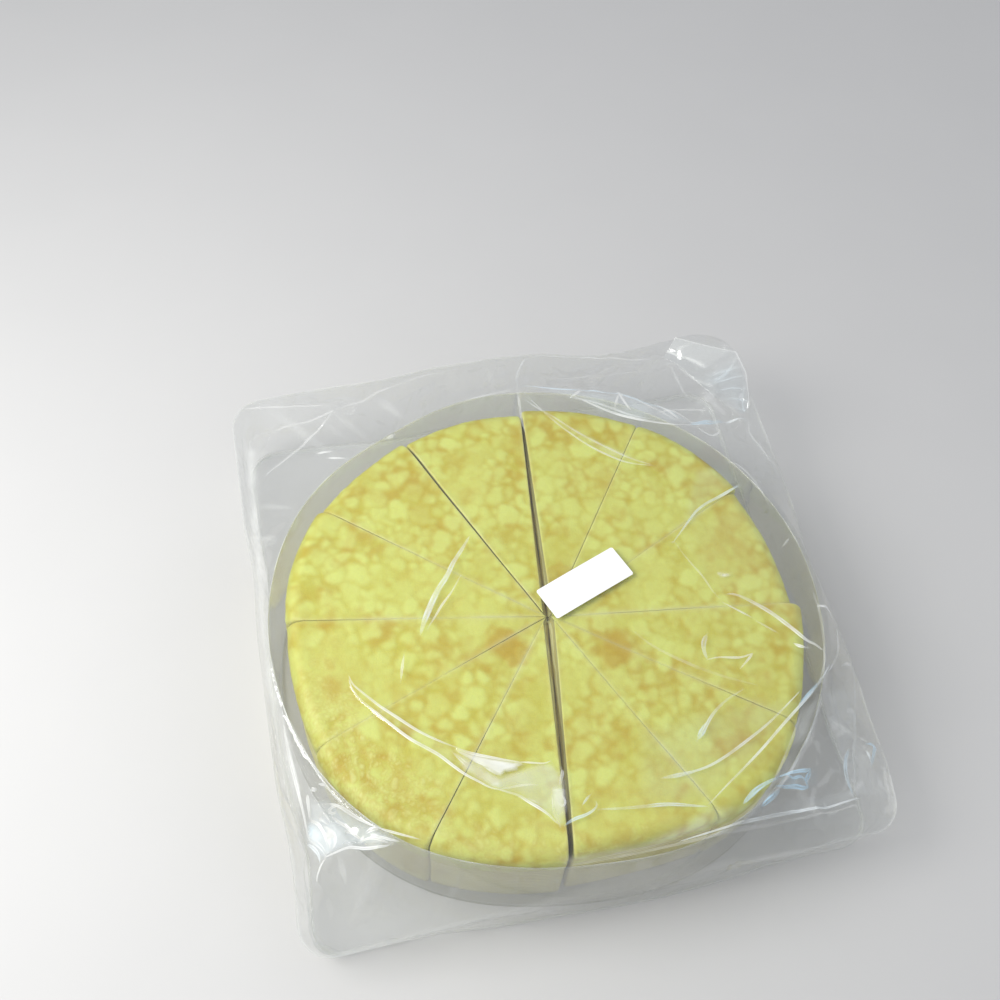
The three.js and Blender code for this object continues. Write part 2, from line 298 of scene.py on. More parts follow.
def stitch(low, low_at, high, high_at):
    """Triangles between two rows of points, given each row's indices and its points' places 0 to 1.
    They face up where the rows run counter-clockwise and high lies outside low."""
    faces = []
    i = j = 0
    while i < len(low) - 1 or j < len(high) - 1:
        if j == len(high) - 1 or (i < len(low) - 1 and low_at[i + 1] < high_at[j + 1]):
            faces.append((low[i], high[j], low[i + 1]))
            i += 1
        else:
            faces.append((low[i], high[j], high[j + 1]))
            j += 1
    return faces


def sheet_faces(columns, rows):
    """The faces of a thin closed sheet whose points are two grids of rows, the lower grid first."""
    layer = columns * rows
    faces = []
    for j in range(rows - 1):
        for a in range(j * columns, (j + 1) * columns - 1):
            faces.append((a, a + columns, a + columns + 1, a + 1))
            faces.append((layer + a, layer + a + 1, layer + a + columns + 1, layer + a + columns))
    border = list(range(columns - 1)) + [(j + 1) * columns - 1 for j in range(rows - 1)]
    border += [(rows - 1) * columns + i for i in range(columns - 1, 0, -1)]
    border += [j * columns for j in range(rows - 1, 0, -1)]
    return faces + [(a, b, layer + b, layer + a) for a, b in zip(border, border[1:] + border[:1])]


# ---------------------------------------------------------------- Slices

TOP_SPACING = 0.62
SIDE_SPACING = 0.75
LIP_DISTANCES = [0.0, 0.15, 0.38, 0.7, 1.1]
LIP_RADIUS = 0.22
LIP_SWELL = 0.1
CORNER_RADIUS = 1.8
SHOULDER_STEPS = 14
SHOULDER_MEAN_RADIUS = (EDGE_ROUND["across"] + EDGE_ROUND["down"]) / 2
LAYER_PITCH = 2.15
# How far down the side the top crepe drapes: its lower edge's height, and how much that edge waves
DRAPE_HEIGHT = 36.0
DRAPE_WAVES = (2.2, 1.2)
LEAN_DEPTH = 8.0
CUT_POINTS = 42
# How open each cut is at the centre and at the edge, by its direction, where 1 is a knife's width, and how
# far from a cut in mm the cake moves with it
CUT_OPENINGS = {
    -98.1: (4.2, 1.9), -64.9: (0.12, 0.25), -36.7: (0.03, 0.06), -7.1: (0.03, 0.06), 26.1: (0.02, 0.3),
    55.2: (0.35, 0.35), 83.6: (3.2, 0.5), 113.6: (0.7, 1.5), 140.4: (0.04, 0.3), 170.3: (0.03, 0.1),
    201.2: (0.05, 0.2), 232.6: (0.0, 0.4), 261.9: (4.2, 1.9),
}
CUT_PULL = 1.5
# The cut faces' rings from the top down: their share of the height, and how far the two halves lean together
# there, until GAP_LEFT_DEEP in mm is left of the gap on each side. LEAN_DEPTH in mm inside, they lean less.
CUT_RINGS = [
    (0.985, 0.02), (0.965, 0.08), (0.945, 0.24), (0.932, 0.52), (0.924, 0.84), (0.916, 1.0), (0.86, 1.0),
    (0.75, 1.0), (0.6, 1.0), (0.45, 1.0), (0.3, 1.0), (0.2, 0.8), (0.1, 0.4), (0.0, 0.0),
]
GAP_LEFT_DEEP = 0.02

pattern = crepe_pattern()
undulation = cloud(24, 21)
dimples = cloud(3.0, 22)


def rounding(distance, radius):
    """How far an edge rounded to a radius falls at a distance from it."""
    inside = np.clip(radius - distance, 0, radius)
    return radius - np.sqrt(np.maximum(radius * radius - inside * inside, 0))


def top_height(plan, index):
    """The cake's height over the plan, gently wavy and a little different from slice to slice."""
    across = np.sin(2 * math.pi * plan[..., 0] / TOP_WAVE["across"] + 1.7 * index)
    along = np.cos(2 * math.pi * plan[..., 1] / TOP_WAVE["along"] - 0.9 * index)
    return CAKE_HEIGHT + TOP_WAVE["height"] * (across + along)


def relief(plan):
    """Low relief of the top crepe: pale cells stand a little proud of the golden net."""
    raised = 0.24 * sample(pattern["pale"], plan) - 0.14 + 0.12 * sample(pattern["bubbles"], plan)
    return raised + 0.12 * sample(undulation, plan) + 0.03 * sample(dimples, plan)


def cake_slice(name, start, end, reach, index, side):
    """One slice. Its skin runs in rows from the slice's point over the top and down the round side."""
    begin = start - (HALVES_FLARE if start in (GAP_FRONT, GAP_BACK) else 0.0)
    finish = end + (HALVES_FLARE if end in (GAP_BACK, GAP_FRONT + 360) else 0.0)
    half_angle = math.radians((finish - begin) / 2)
    from_start, from_end = polar(1.0, begin + 90), polar(1.0, finish - 90)
    apex = polar(side * (HALVES_APART - KNIFE_CUT) / 2, GAP_BACK - 90)
    apex = apex + polar(KNIFE_CUT / 2 / math.sin(half_angle), (begin + finish) / 2)

    def reach_at(direction):
        share = np.clip(turn_between((start + end) / 2, direction) / ((end - start) / 2), -1.2, 1.2)
        first, middle, last = reach
        return middle + (last - first) / 2 * share + ((first + last) / 2 - middle) * share * share

    def from_cuts(length, turn):
        return length * np.sin(np.radians(np.minimum(turn - begin, finish - turn)))

    def edge_distance(turn):
        """How far the cake reaches from the slice's point."""
        length = np.full(np.shape(turn), CAKE_RADIUS)
        for _ in range(8):
            spot = apex + length[..., None] * polar(1.0, turn)
            length = length + reach_at(direction_of(spot)) - np.hypot(spot[..., 0], spot[..., 1])
        return length - rounding(from_cuts(length, turn), CORNER_RADIUS)

    def openness(cut, plan):
        return np.interp(np.hypot(plan[..., 0], plan[..., 1]), [0, CAKE_RADIUS], CUT_OPENINGS[cut])

    def opened(plan):
        """The points with those near a cut moved across it, until it stands open as it should."""
        moved = plan.copy()
        normals = np.array([polar(1.0, begin - 90), polar(1.0, finish + 90)])
        for cut, normal in zip((start, end), normals):
            closer = KNIFE_CUT / 2 * (1 - openness(cut, plan))
            moved += (closer * np.exp(-np.maximum((apex - plan) @ normal, 0) / CUT_PULL))[:, None] * normal
        at_tip = KNIFE_CUT / 2 * (1 - np.array([openness(start, apex), openness(end, apex)]))
        to_corner = np.linalg.solve(normals, at_tip) - at_tip @ normals
        away = np.linalg.norm(plan - apex, axis=1) * math.sin(2 * half_angle)
        return moved + np.exp(-away / CUT_PULL)[:, None] * to_corner

    def leaning(plan):
        """How far the cake's inside leans across the gap between the halves, most at the gap itself."""
        at_back = plan @ polar(1.0, GAP_BACK) > 0
        along = np.hypot(plan[:, 0], plan[:, 1])
        across = np.where(at_back[:, None], polar(1.0, GAP_BACK - 90), polar(1.0, GAP_FRONT + 90))
        wall = HALVES_APART / 2 - along * math.sin(math.radians(HALVES_FLARE))
        inside = np.maximum(side * (plan * across).sum(1) - wall, 0)
        closer = KNIFE_CUT / 2 * (1 - np.where(at_back, openness(GAP_BACK, plan), openness(GAP_FRONT, plan)))
        room = np.maximum(wall - closer - GAP_LEFT_DEEP, 0)
        return -side * (room * np.exp(-inside / LEAN_DEPTH))[:, None] * across

    def lip_radius(plan):
        nearer_start = (plan - apex) @ from_start < (plan - apex) @ from_end
        share = np.where(nearer_start, openness(start, plan), openness(end, plan))
        return LIP_RADIUS * (0.35 + 0.65 * np.clip(np.abs(share), 0, 1.5))

    def columns_at(width, spacing):
        """Places 0 to 1 across the slice, crowded at both cuts."""
        lips = [distance / width for distance in LIP_DISTANCES if distance < 0.3 * width]
        inner = max(2, int((1 - 2 * lips[-1]) * width / spacing) + 1)
        between = np.linspace(lips[-1], 1 - lips[-1], inner + 1).tolist()
        return np.array(lips[:-1] + between + [1 - lip for lip in lips[:-1]][::-1])

    points, skin, unrolled, leans, moist_and_shade, faces, rows = [], [], [], [], [], [], []

    def add_points(xyz, skin_share, flat, lean=None):
        """Points of the skin, or of a cut face where the halves lean together by a share."""
        first = len(points)
        leans.extend([lean or 0.0] * len(xyz))
        # Cut faces are painted darker where they lean little, mostly near the top: moist crepe, and painted
        # shade standing in for the deep gap's shade.
        moist_and_shade.extend([0.0 if lean is None else 1 - min(1.0, 1.7 * lean)] * len(xyz))
        points.extend(np.asarray(xyz).tolist())
        skin.extend(np.broadcast_to(skin_share, len(xyz)).tolist())
        unrolled.extend(np.asarray(flat).tolist())
        return list(range(first, len(points)))

    tip = np.array([[apex[0], apex[1], float(top_height(apex, index)) - LIP_RADIUS]])
    rows.append((add_points(tip, 1.0, tip[:, :2]), np.array([0.5])))
    top_length = CAKE_RADIUS - EDGE_ROUND["across"]
    top_rows = int(top_length / TOP_SPACING)
    for k in range(1, top_rows + 1):
        width = k / top_rows * top_length * 2 * half_angle
        at = columns_at(width, TOP_SPACING) if width > 1.2 else np.array([0.0, 0.5, 1.0])
        turn = begin + at * (finish - begin)
        length = (edge_distance(turn) - EDGE_ROUND["across"]) * k / top_rows
        plan = apex + length[:, None] * polar(1.0, turn)
        beside = from_cuts(length, turn)
        z = top_height(plan, index) + relief(plan) - rounding(beside, lip_radius(plan))
        z += LIP_SWELL * np.exp(-((beside - 0.9) / 0.6) ** 2)
        rows.append((add_points(np.column_stack([plan, z]), 1.0, plan), at))

    at = columns_at(CAKE_RADIUS * 2 * half_angle, TOP_SPACING * 1.15)
    turn = begin + at * (finish - begin)
    ray = polar(1.0, turn)
    edge = edge_distance(turn)
    lip = rounding(from_cuts(edge, turn), lip_radius(apex + edge[:, None] * ray))
    crest = edge - EDGE_ROUND["across"]
    crest_height = top_height(apex + crest[:, None] * ray, index)
    for k in range(1, SHOULDER_STEPS + 1):
        angle = math.pi / 2 * k / SHOULDER_STEPS
        flat = apex + (crest + SHOULDER_MEAN_RADIUS * angle)[:, None] * ray
        bump = relief(flat) - lip
        length = crest + (EDGE_ROUND["across"] + bump) * math.sin(angle)
        z = crest_height - EDGE_ROUND["down"] * (1 - math.cos(angle)) + bump * math.cos(angle)
        rows.append((add_points(np.column_stack([apex + length[:, None] * ray, z]), 1.0, flat), at))

    wall_top = CAKE_HEIGHT - EDGE_ROUND["down"]
    wall_rows = int((wall_top - FLOOR_CLEARANCE) / SIDE_SPACING)
    drape = DRAPE_HEIGHT + DRAPE_WAVES[0] * np.sin(np.radians(turn * 3.1) + index)
    drape += DRAPE_WAVES[1] * np.sin(np.radians(turn * 11.7))
    for k in range(1, wall_rows + 1):
        height = wall_top - (wall_top - FLOOR_CLEARANCE) * k / wall_rows
        travelled = SHOULDER_MEAN_RADIUS * math.pi / 2 + wall_top - height
        flat = apex + (crest + travelled)[:, None] * ray
        under = smoothstep(drape - height, -0.4, 0.5)
        layer = np.abs(np.sin(math.pi * height / LAYER_PITCH + 0.25 * sample(undulation, flat)))
        bump = (1 - under) * relief(flat) - under * (0.55 + 0.35 * (1 - layer))
        length = edge + bump - lip - rounding(height - FLOOR_CLEARANCE, 1.5)
        z = FLOOR_CLEARANCE + (height - FLOOR_CLEARANCE) * crest_height / CAKE_HEIGHT
        rows.append((add_points(np.column_stack([apex + length[:, None] * ray, z]), 1 - under, flat), at))
    for (low, low_at), (high, high_at) in zip(rows, rows[1:]):
        faces += stitch(low, low_at, high, high_at)

    # The cut faces: ever smaller copies of the slice's outline there, down to the corner under its point
    corner = np.array([apex[0], apex[1], FLOOR_CLEARANCE])
    under_point = [
        add_points([corner + (tip[0] - corner) * share], 0.0, [apex], lean)[0] for share, lean in CUT_RINGS
    ]
    floor_lines = []
    for which, inward in ((0, from_start), (-1, from_end)):
        outer = [row[which] for row, _ in rows]
        line = np.array([points[i] for i in outer])
        outer_at = np.append(0, np.cumsum(np.linalg.norm(np.diff(line, axis=0), axis=1)))
        outer_at /= outer_at[-1]
        line_at = outer_at
        floor_line = []
        for level, (share, lean) in enumerate(CUT_RINGS):
            if share > 0:
                inner_at = np.linspace(0, 1, 2 + int(CUT_POINTS * share))
                spots = np.column_stack([np.interp(inner_at, line_at, line[:, c]) for c in range(3)])
                spots = corner + (spots - corner) * share
                dent = 0.1 + 0.1 * np.sin(2.3 * level + 0.9 * np.arange(len(inner_at)))
                dent = dent * min(1.0, 20 * (1 - share))
                spots[1:-1, :2] += dent[1:-1, None] * inward
                below = add_points(spots[1:], 0.0, spots[1:, :2], lean)
                inner = [under_point[level]] + below
                floor_line.append(inner[-1])
            else:
                inner, inner_at = [under_point[level]], np.array([0.5])
            strip = stitch(inner, inner_at, outer, outer_at)
            faces += strip if which == -1 else [(a, c, b) for a, b, c in strip]
            outer, outer_at = inner, inner_at
        floor_lines.append(floor_line)
    ring = rows[-1][0] + floor_lines[1] + [under_point[-1]] + floor_lines[0][::-1]
    middle = np.array([points[i] for i in ring]).mean(0)
    centre = add_points([middle], 0.0, [middle[:2]])[0]
    faces += [(centre, after, before) for before, after in zip(ring, ring[1:] + ring[:1])]

    flat = np.array(unrolled)
    attributes = {key: sample(field, flat) for key, field in pattern.items()}
    attributes["skin"] = skin
    attributes["moist_and_shade"] = moist_and_shade
    placed = np.array(points)
    beside = np.minimum((placed[:, :2] - apex) @ from_start, (placed[:, :2] - apex) @ from_end)
    attributes["lip"] = np.exp(-np.maximum(beside, 0) / 0.7) * (0.7 + 0.3 * np.tanh(sample(undulation, flat)))
    placed[:, :2] += leaning(placed[:, :2]) * np.array(leans)[:, None]
    placed[:, :2] = opened(placed[:, :2]) + CAKE_CENTRE
    made = add_mesh(f"{name}_crepe", placed, faces, attributes)
    made.data.set_sharp_from_angle(angle=math.radians(50))
    made.data.materials.append(crepe_material)
    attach(made, "root")
    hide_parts(name)


# ---------------------------------------------------------------- Materials

class Shader:
    """A material with its node tree, and short ways to add nodes to it."""

    def __init__(self, name):
        self.material = bpy.data.materials.new(name)
        self.material.use_nodes = True
        self.tree = self.material.node_tree
        self.tree.nodes.clear()
        self.place = self.add("TexCoord").outputs["Object"]

    def add(self, kind, inputs=None, **settings):
        made = self.tree.nodes.new("ShaderNode" + kind)
        for key, value in settings.items():
            setattr(made, key, value)
        for key, value in (inputs or {}).items():
            if isinstance(value, bpy.types.NodeSocket):
                self.tree.links.new(value, made.inputs[key])
            else:
                made.inputs[key].default_value = value
        return made

    def attribute(self, name):
        return self.add("Attribute", attribute_name=name).outputs["Fac"]

    def math(self, operation, first, second=0.0, third=0.0, clamp=False):
        inputs = {0: first, 1: second, 2: third}
        return self.add("Math", inputs, operation=operation, use_clamp=clamp).outputs[0]

    def noise(self, size, detail=2.0, roughness=0.5):
        """Noise from 0 to 1 with blobs of a size in mm."""
        inputs = {"Vector": self.place, "Scale": 1 / (size * MM), "Detail": detail, "Roughness": roughness}
        return self.add("TexNoise", inputs).outputs["Fac"]

    def blend(self, share, low, high):
        """A colour from low to high as share goes from 0 to 1."""
        return self.add("Mix", {0: share, 6: low, 7: high}, data_type="RGBA").outputs[2]

    def ramp(self, value, low, high):
        """0 to 1 as value goes from low to high."""
        inputs = {"Value": value, "From Min": low, "From Max": high}
        return self.add("MapRange", inputs, interpolation_type="SMOOTHSTEP").outputs[0]

    def bump(self, height, depth, strength=1.0):
        inputs = {"Height": height, "Distance": depth * MM, "Strength": strength}
        return self.add("Bump", inputs).outputs["Normal"]

    def finish(self, shader):
        self.add("OutputMaterial", {"Surface": shader})
        return self.material


GOLDEN_LIGHT = (0.543, 0.505, 0.053, 1)
GOLDEN_DEEP = (0.522, 0.42, 0.026, 1)
PALE = (0.66, 0.705, 0.175, 1)
BUBBLE = (0.70, 0.69, 0.23, 1)
BROWNED = (0.5, 0.345, 0.012, 1)
LIP = (0.64, 0.64, 0.33, 1)
CREPE_EDGE = (0.52, 0.43, 0.12, 1)
CREAM = (0.78, 0.75, 0.36, 1)
# Darker olive for the upper cut faces: moist crepe and painted shade.
MOIST_AND_SHADED_CUT = (0.40, 0.39, 0.17, 1)
# White of creased film and of painted highlights on it.
CREASE_WHITE_AND_HIGHLIGHT = (0.93, 0.95, 0.92, 1)
# Painted blue reflection in some creases.
PAINTED_BLUE_REFLECTION = (0.50, 0.80, 1.0, 1)
PAPER_WHITE = (0.95, 0.95, 0.945, 1)
PAPER_FIBRE = (0.86, 0.865, 0.87, 1)
PAPER_BLOTCH = (0.93, 0.925, 0.91, 1)
FLOOR_DARKER = (0.58, 0.578, 0.572, 1)
FLOOR_LIGHTER = (0.60, 0.597, 0.59, 1)


def make_crepe():
    """Moist crepe: pale cells in a golden net, browned in places, with a layered side under its drape."""
    shader = Shader("crepe")
    fine = shader.noise(0.55, 3.0)
    grain = shader.noise(2.2, 2.0)
    golden = shader.blend(shader.attribute("golden"), GOLDEN_LIGHT, GOLDEN_DEEP)
    cells = shader.math("MULTIPLY_ADD", shader.math("SUBTRACT", grain, 0.5), 0.3, shader.attribute("pale"))
    colour = shader.blend(shader.math("MAXIMUM", shader.math("MINIMUM", cells, 1.0), 0.0), golden, PALE)
    colour = shader.blend(shader.math("MULTIPLY", shader.attribute("bubbles"), 0.85), colour, BUBBLE)
    dark_rims = shader.math("MULTIPLY", shader.attribute("rims"), 0.42)
    browned = shader.math("ADD", shader.attribute("brown"), dark_rims, clamp=True)
    colour = shader.blend(browned, colour, BROWNED)
    colour = shader.blend(shader.math("MULTIPLY", shader.attribute("lip"), 0.75), colour, LIP)

    height = shader.add("SeparateXYZ", {"Vector": shader.place}).outputs["Z"]
    phase = shader.math("MULTIPLY", height, math.pi / (LAYER_PITCH * MM))
    phase = shader.math("ADD", phase, shader.math("MULTIPLY", shader.noise(14.0), 2.2))
    edges = shader.math("ABSOLUTE", shader.math("SINE", phase))
    layers = shader.blend(shader.ramp(edges, 0.25, 0.85), CREAM, CREPE_EDGE)
    # Upper cut faces are painted darker olive: partly moist crepe, partly painted shade of the gap between
    # the halves.
    cut = shader.blend(shader.attribute("moist_and_shade"), layers, MOIST_AND_SHADED_CUT)
    colour = shader.blend(shader.attribute("skin"), cut, colour)
    shade = shader.math("MULTIPLY_ADD", fine, 0.16, 0.92)
    tinted = shader.add("VectorMath", {0: colour, "Scale": shade}, operation="SCALE")

    rough = shader.math("MULTIPLY_ADD", grain, 0.25, 0.36)
    normal = shader.bump(shader.math("ADD", fine, shader.math("MULTIPLY", grain, 1.5)), 0.12, 0.6)
    surface = shader.add("BsdfPrincipled", {
        "Base Color": tinted.outputs[0],
        "Roughness": rough,
        "Normal": normal,
        "Specular IOR Level": 0.35,
        "Subsurface Weight": 0.2,
        "Subsurface Radius": (1.0, 0.8, 0.35),
        "Subsurface Scale": 1.6 * MM,
    })
    return shader.finish(surface.outputs[0])


def make_clear(name, tint, gloss, haze):
    """Clear plastic: it lets light through, mirrors more at a slant, and whitens where creased, with painted
    highlights and a painted blue reflection in places.
    """
    shader = Shader(name)
    facing = shader.add("LayerWeight", {"Blend": 0.5}).outputs["Facing"]
    ripples = shader.bump(shader.noise(3.5, 3.0), 0.05, 0.4)
    mirror = shader.add("BsdfGlossy", {"Color": (1, 1, 1, 1), "Roughness": gloss, "Normal": ripples})
    through = shader.add("BsdfTransparent", {"Color": tint})
    share = shader.math("MULTIPLY_ADD", shader.math("POWER", facing, 4.0), 0.75, 0.07)
    clear = shader.add("MixShader", {0: share, 1: through.outputs[0], 2: mirror.outputs[0]})
    # White shader for crease whitening and painted highlights, tinted by a painted blue reflection.
    white = shader.add("BsdfPrincipled", {
        "Base Color": shader.blend(shader.attribute("blue"), CREASE_WHITE_AND_HIGHLIGHT, PAINTED_BLUE_REFLECTION),
        "Roughness": 0.25,
        "Specular IOR Level": 0.8,
        "Normal": ripples,
    })
    smudge = shader.ramp(shader.noise(22.0, 4.0, 0.6), 0.35, 0.8)
    veil = shader.math("MULTIPLY_ADD", smudge, haze, haze * 0.5)
    milk_and_highlight = shader.math("MINIMUM", shader.math("ADD", shader.attribute("milk_and_highlight"), veil), 0.95)
    mixed = shader.add("MixShader", {0: milk_and_highlight, 1: clear.outputs[0], 2: white.outputs[0]})
    return shader.finish(mixed.outputs[0])


def make_paper():
    """Matt white label paper with a faint fibre grain."""
    shader = Shader("label_paper")
    fibres = shader.noise(0.35, 4.0, 0.7)
    blotch = shader.noise(6.0, 2.0)
    colour = shader.blend(shader.math("MULTIPLY", fibres, 0.5), PAPER_WHITE, PAPER_FIBRE)
    colour = shader.blend(shader.math("MULTIPLY", blotch, 0.25), colour, PAPER_BLOTCH)
    surface = shader.add("BsdfPrincipled", {
        "Base Color": colour,
        "Roughness": 0.62,
        "Normal": shader.bump(fibres, 0.03, 0.5),
    })
    return shader.finish(surface.outputs[0])


def make_floor():
    """The pale studio floor, with a faint unevenness."""
    shader = Shader("floor")
    colour = shader.blend(shader.noise(60.0, 3.0), FLOOR_DARKER, FLOOR_LIGHTER)
    surface = shader.add("BsdfPrincipled", {"Base Color": colour, "Roughness": 0.7})
    return shader.finish(surface.outputs[0])


crepe_material = make_crepe()
film_material = make_clear("film", tint=(0.965, 0.97, 0.97, 1), gloss=0.05, haze=0.02)
collar_material = make_clear("collar", tint=(0.97, 0.975, 0.96, 1), gloss=0.04, haze=0.015)
label_material = make_paper()

for half, end, side, word in ((RIGHT_HALF, GAP_BACK, 1, "right"), (LEFT_HALF, GAP_FRONT + 360, -1, "left")):
    for i, (start, reach) in enumerate(half):
        finish_at = half[i + 1][0] if i + 1 < len(half) else end
        cake_slice(f"slice_{word}_{i + 1}", start, finish_at, reach, i + (0 if side > 0 else 6), side)


# ---------------------------------------------------------------- Collar

film_swell = cloud(34, 41)
film_ripple = cloud(10, 42)
film_patches = cloud(9, 43)

COLLAR_POINTS = 540
COLLAR_LEVELS = [6, 14, 24, 34, 44, 51, 54, 55]
COLLAR_SHOULDER = 55.35
# Painted highlight along the collar's rim, brightest at the left: direction, width in degrees, and how
# strongly.
COLLAR_RIM_HIGHLIGHT = [(165.0, 55.0, 0.4), (75.0, 30.0, 0.12)]


def collar():
    """A clear strip bent to a ring, with a rounded rim."""
    count = COLLAR_POINTS
    half = COLLAR_THICKNESS / 2 - 0.05
    section = [(-half, FLOOR_CLEARANCE), (half, FLOOR_CLEARANCE)]
    section += [(half, height) for height in COLLAR_LEVELS]
    section += [(0.6 * half, COLLAR_SHOULDER), (0.0, COLLAR_HEIGHT), (-0.6 * half, COLLAR_SHOULDER)]
    section += [(-half, height) for height in COLLAR_LEVELS[::-1]]
    direction = np.arange(count) * 360 / count
    radius = collar_radius(direction)
    points, milk_and_highlight, faces = [], [], []
    for offset, height in section:
        ripple = 0.12 * np.sin(np.radians(direction * 13)) * height / COLLAR_HEIGHT
        plan = polar(radius + offset + ripple, direction) + CAKE_CENTRE
        points.append(np.column_stack([plan, np.full(count, height)]))
        # The rim's top is whitened as a painted highlight line, brightest at the left, with a faint whitening
        # of the foot.
        whitening_and_highlight = 0.14 + bumps_at(direction, COLLAR_RIM_HIGHLIGHT)
        whitening_and_highlight = whitening_and_highlight * (1 + 0.35 * sample(film_ripple, plan - CAKE_CENTRE))
        milk_and_highlight.append(np.clip(whitening_and_highlight * float(height > 54.9) + 0.1 * float(height < 0.5), 0, 1))
    turns = len(section)
    for k in range(turns):
        after = (k + 1) % turns
        for i in range(count):
            j = (i + 1) % count
            faces.append((k * count + i, k * count + j, after * count + j, after * count + i))
    made = add_mesh("collar_strip", np.concatenate(points), faces, {"milk_and_highlight": np.concatenate(milk_and_highlight)})
    made.data.materials.append(collar_material)
    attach(made, "root")
    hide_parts("collar")


collar()


# ---------------------------------------------------------------- Label

LABEL_BOTTOM = 52.32
LABEL_TOP = 52.58
LABEL_CORNER = 0.7


def label():
    """A thin blank paper label with small round corners, lying slightly bowed on the film."""
    columns, rows, corner = 60, 26, LABEL_CORNER
    width, depth = LABEL_SIZE
    points = []
    for height, inset in ((LABEL_BOTTOM, 0.0), (LABEL_TOP, 0.05)):
        for j in range(rows + 1):
            y = (j / rows - 0.5) * (depth - 2 * inset)
            near_end = np.clip(abs(y) - (depth / 2 - inset - corner), 0, corner)
            half = width / 2 - inset - (corner - math.sqrt(corner * corner - near_end * near_end))
            for i in range(columns + 1):
                x = (2 * i / columns - 1) * half
                bow = 0.07 * math.cos(x / 9.0) + 0.03 * math.sin(y / 3.0 + x / 14.0)
                points.append((x, y, height + bow))
    points = np.array(points)
    turn = math.radians(LABEL_TURN)
    spin = np.array([[math.cos(turn), math.sin(turn)], [-math.sin(turn), math.cos(turn)]])
    points[:, :2] = points[:, :2] @ spin + CAKE_CENTRE + LABEL_CENTRE
    made = add_mesh("label_paper", points, sheet_faces(columns + 1, rows + 1))
    made.data.set_sharp_from_angle(angle=math.radians(50))
    made.data.materials.append(label_material)
    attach(made, "root")
    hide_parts("label")


label()


# ---------------------------------------------------------------- Film

FILM_OVER_CAKE = 51.75
FILM_OVER_RIM = 56.3
FILM_FLOOR = 0.15
FILM_CEILING = 58.0
FILM_SPACING = 1.45
FILM_GRID_REACH = 165.0
FOLD_CLEARANCE = 0.75
OUTLINE_POINTS = 560
WALL_ROWS = 14
# The rings of the bag's underside: their share of its foot's radius, and how many points each has
UNDERSIDE_RINGS = [(0.985, 280), (0.95, 280), (0.86, 140), (0.7, 70), (0.45, 36), (0.2, 18)]
PLEATS = 54
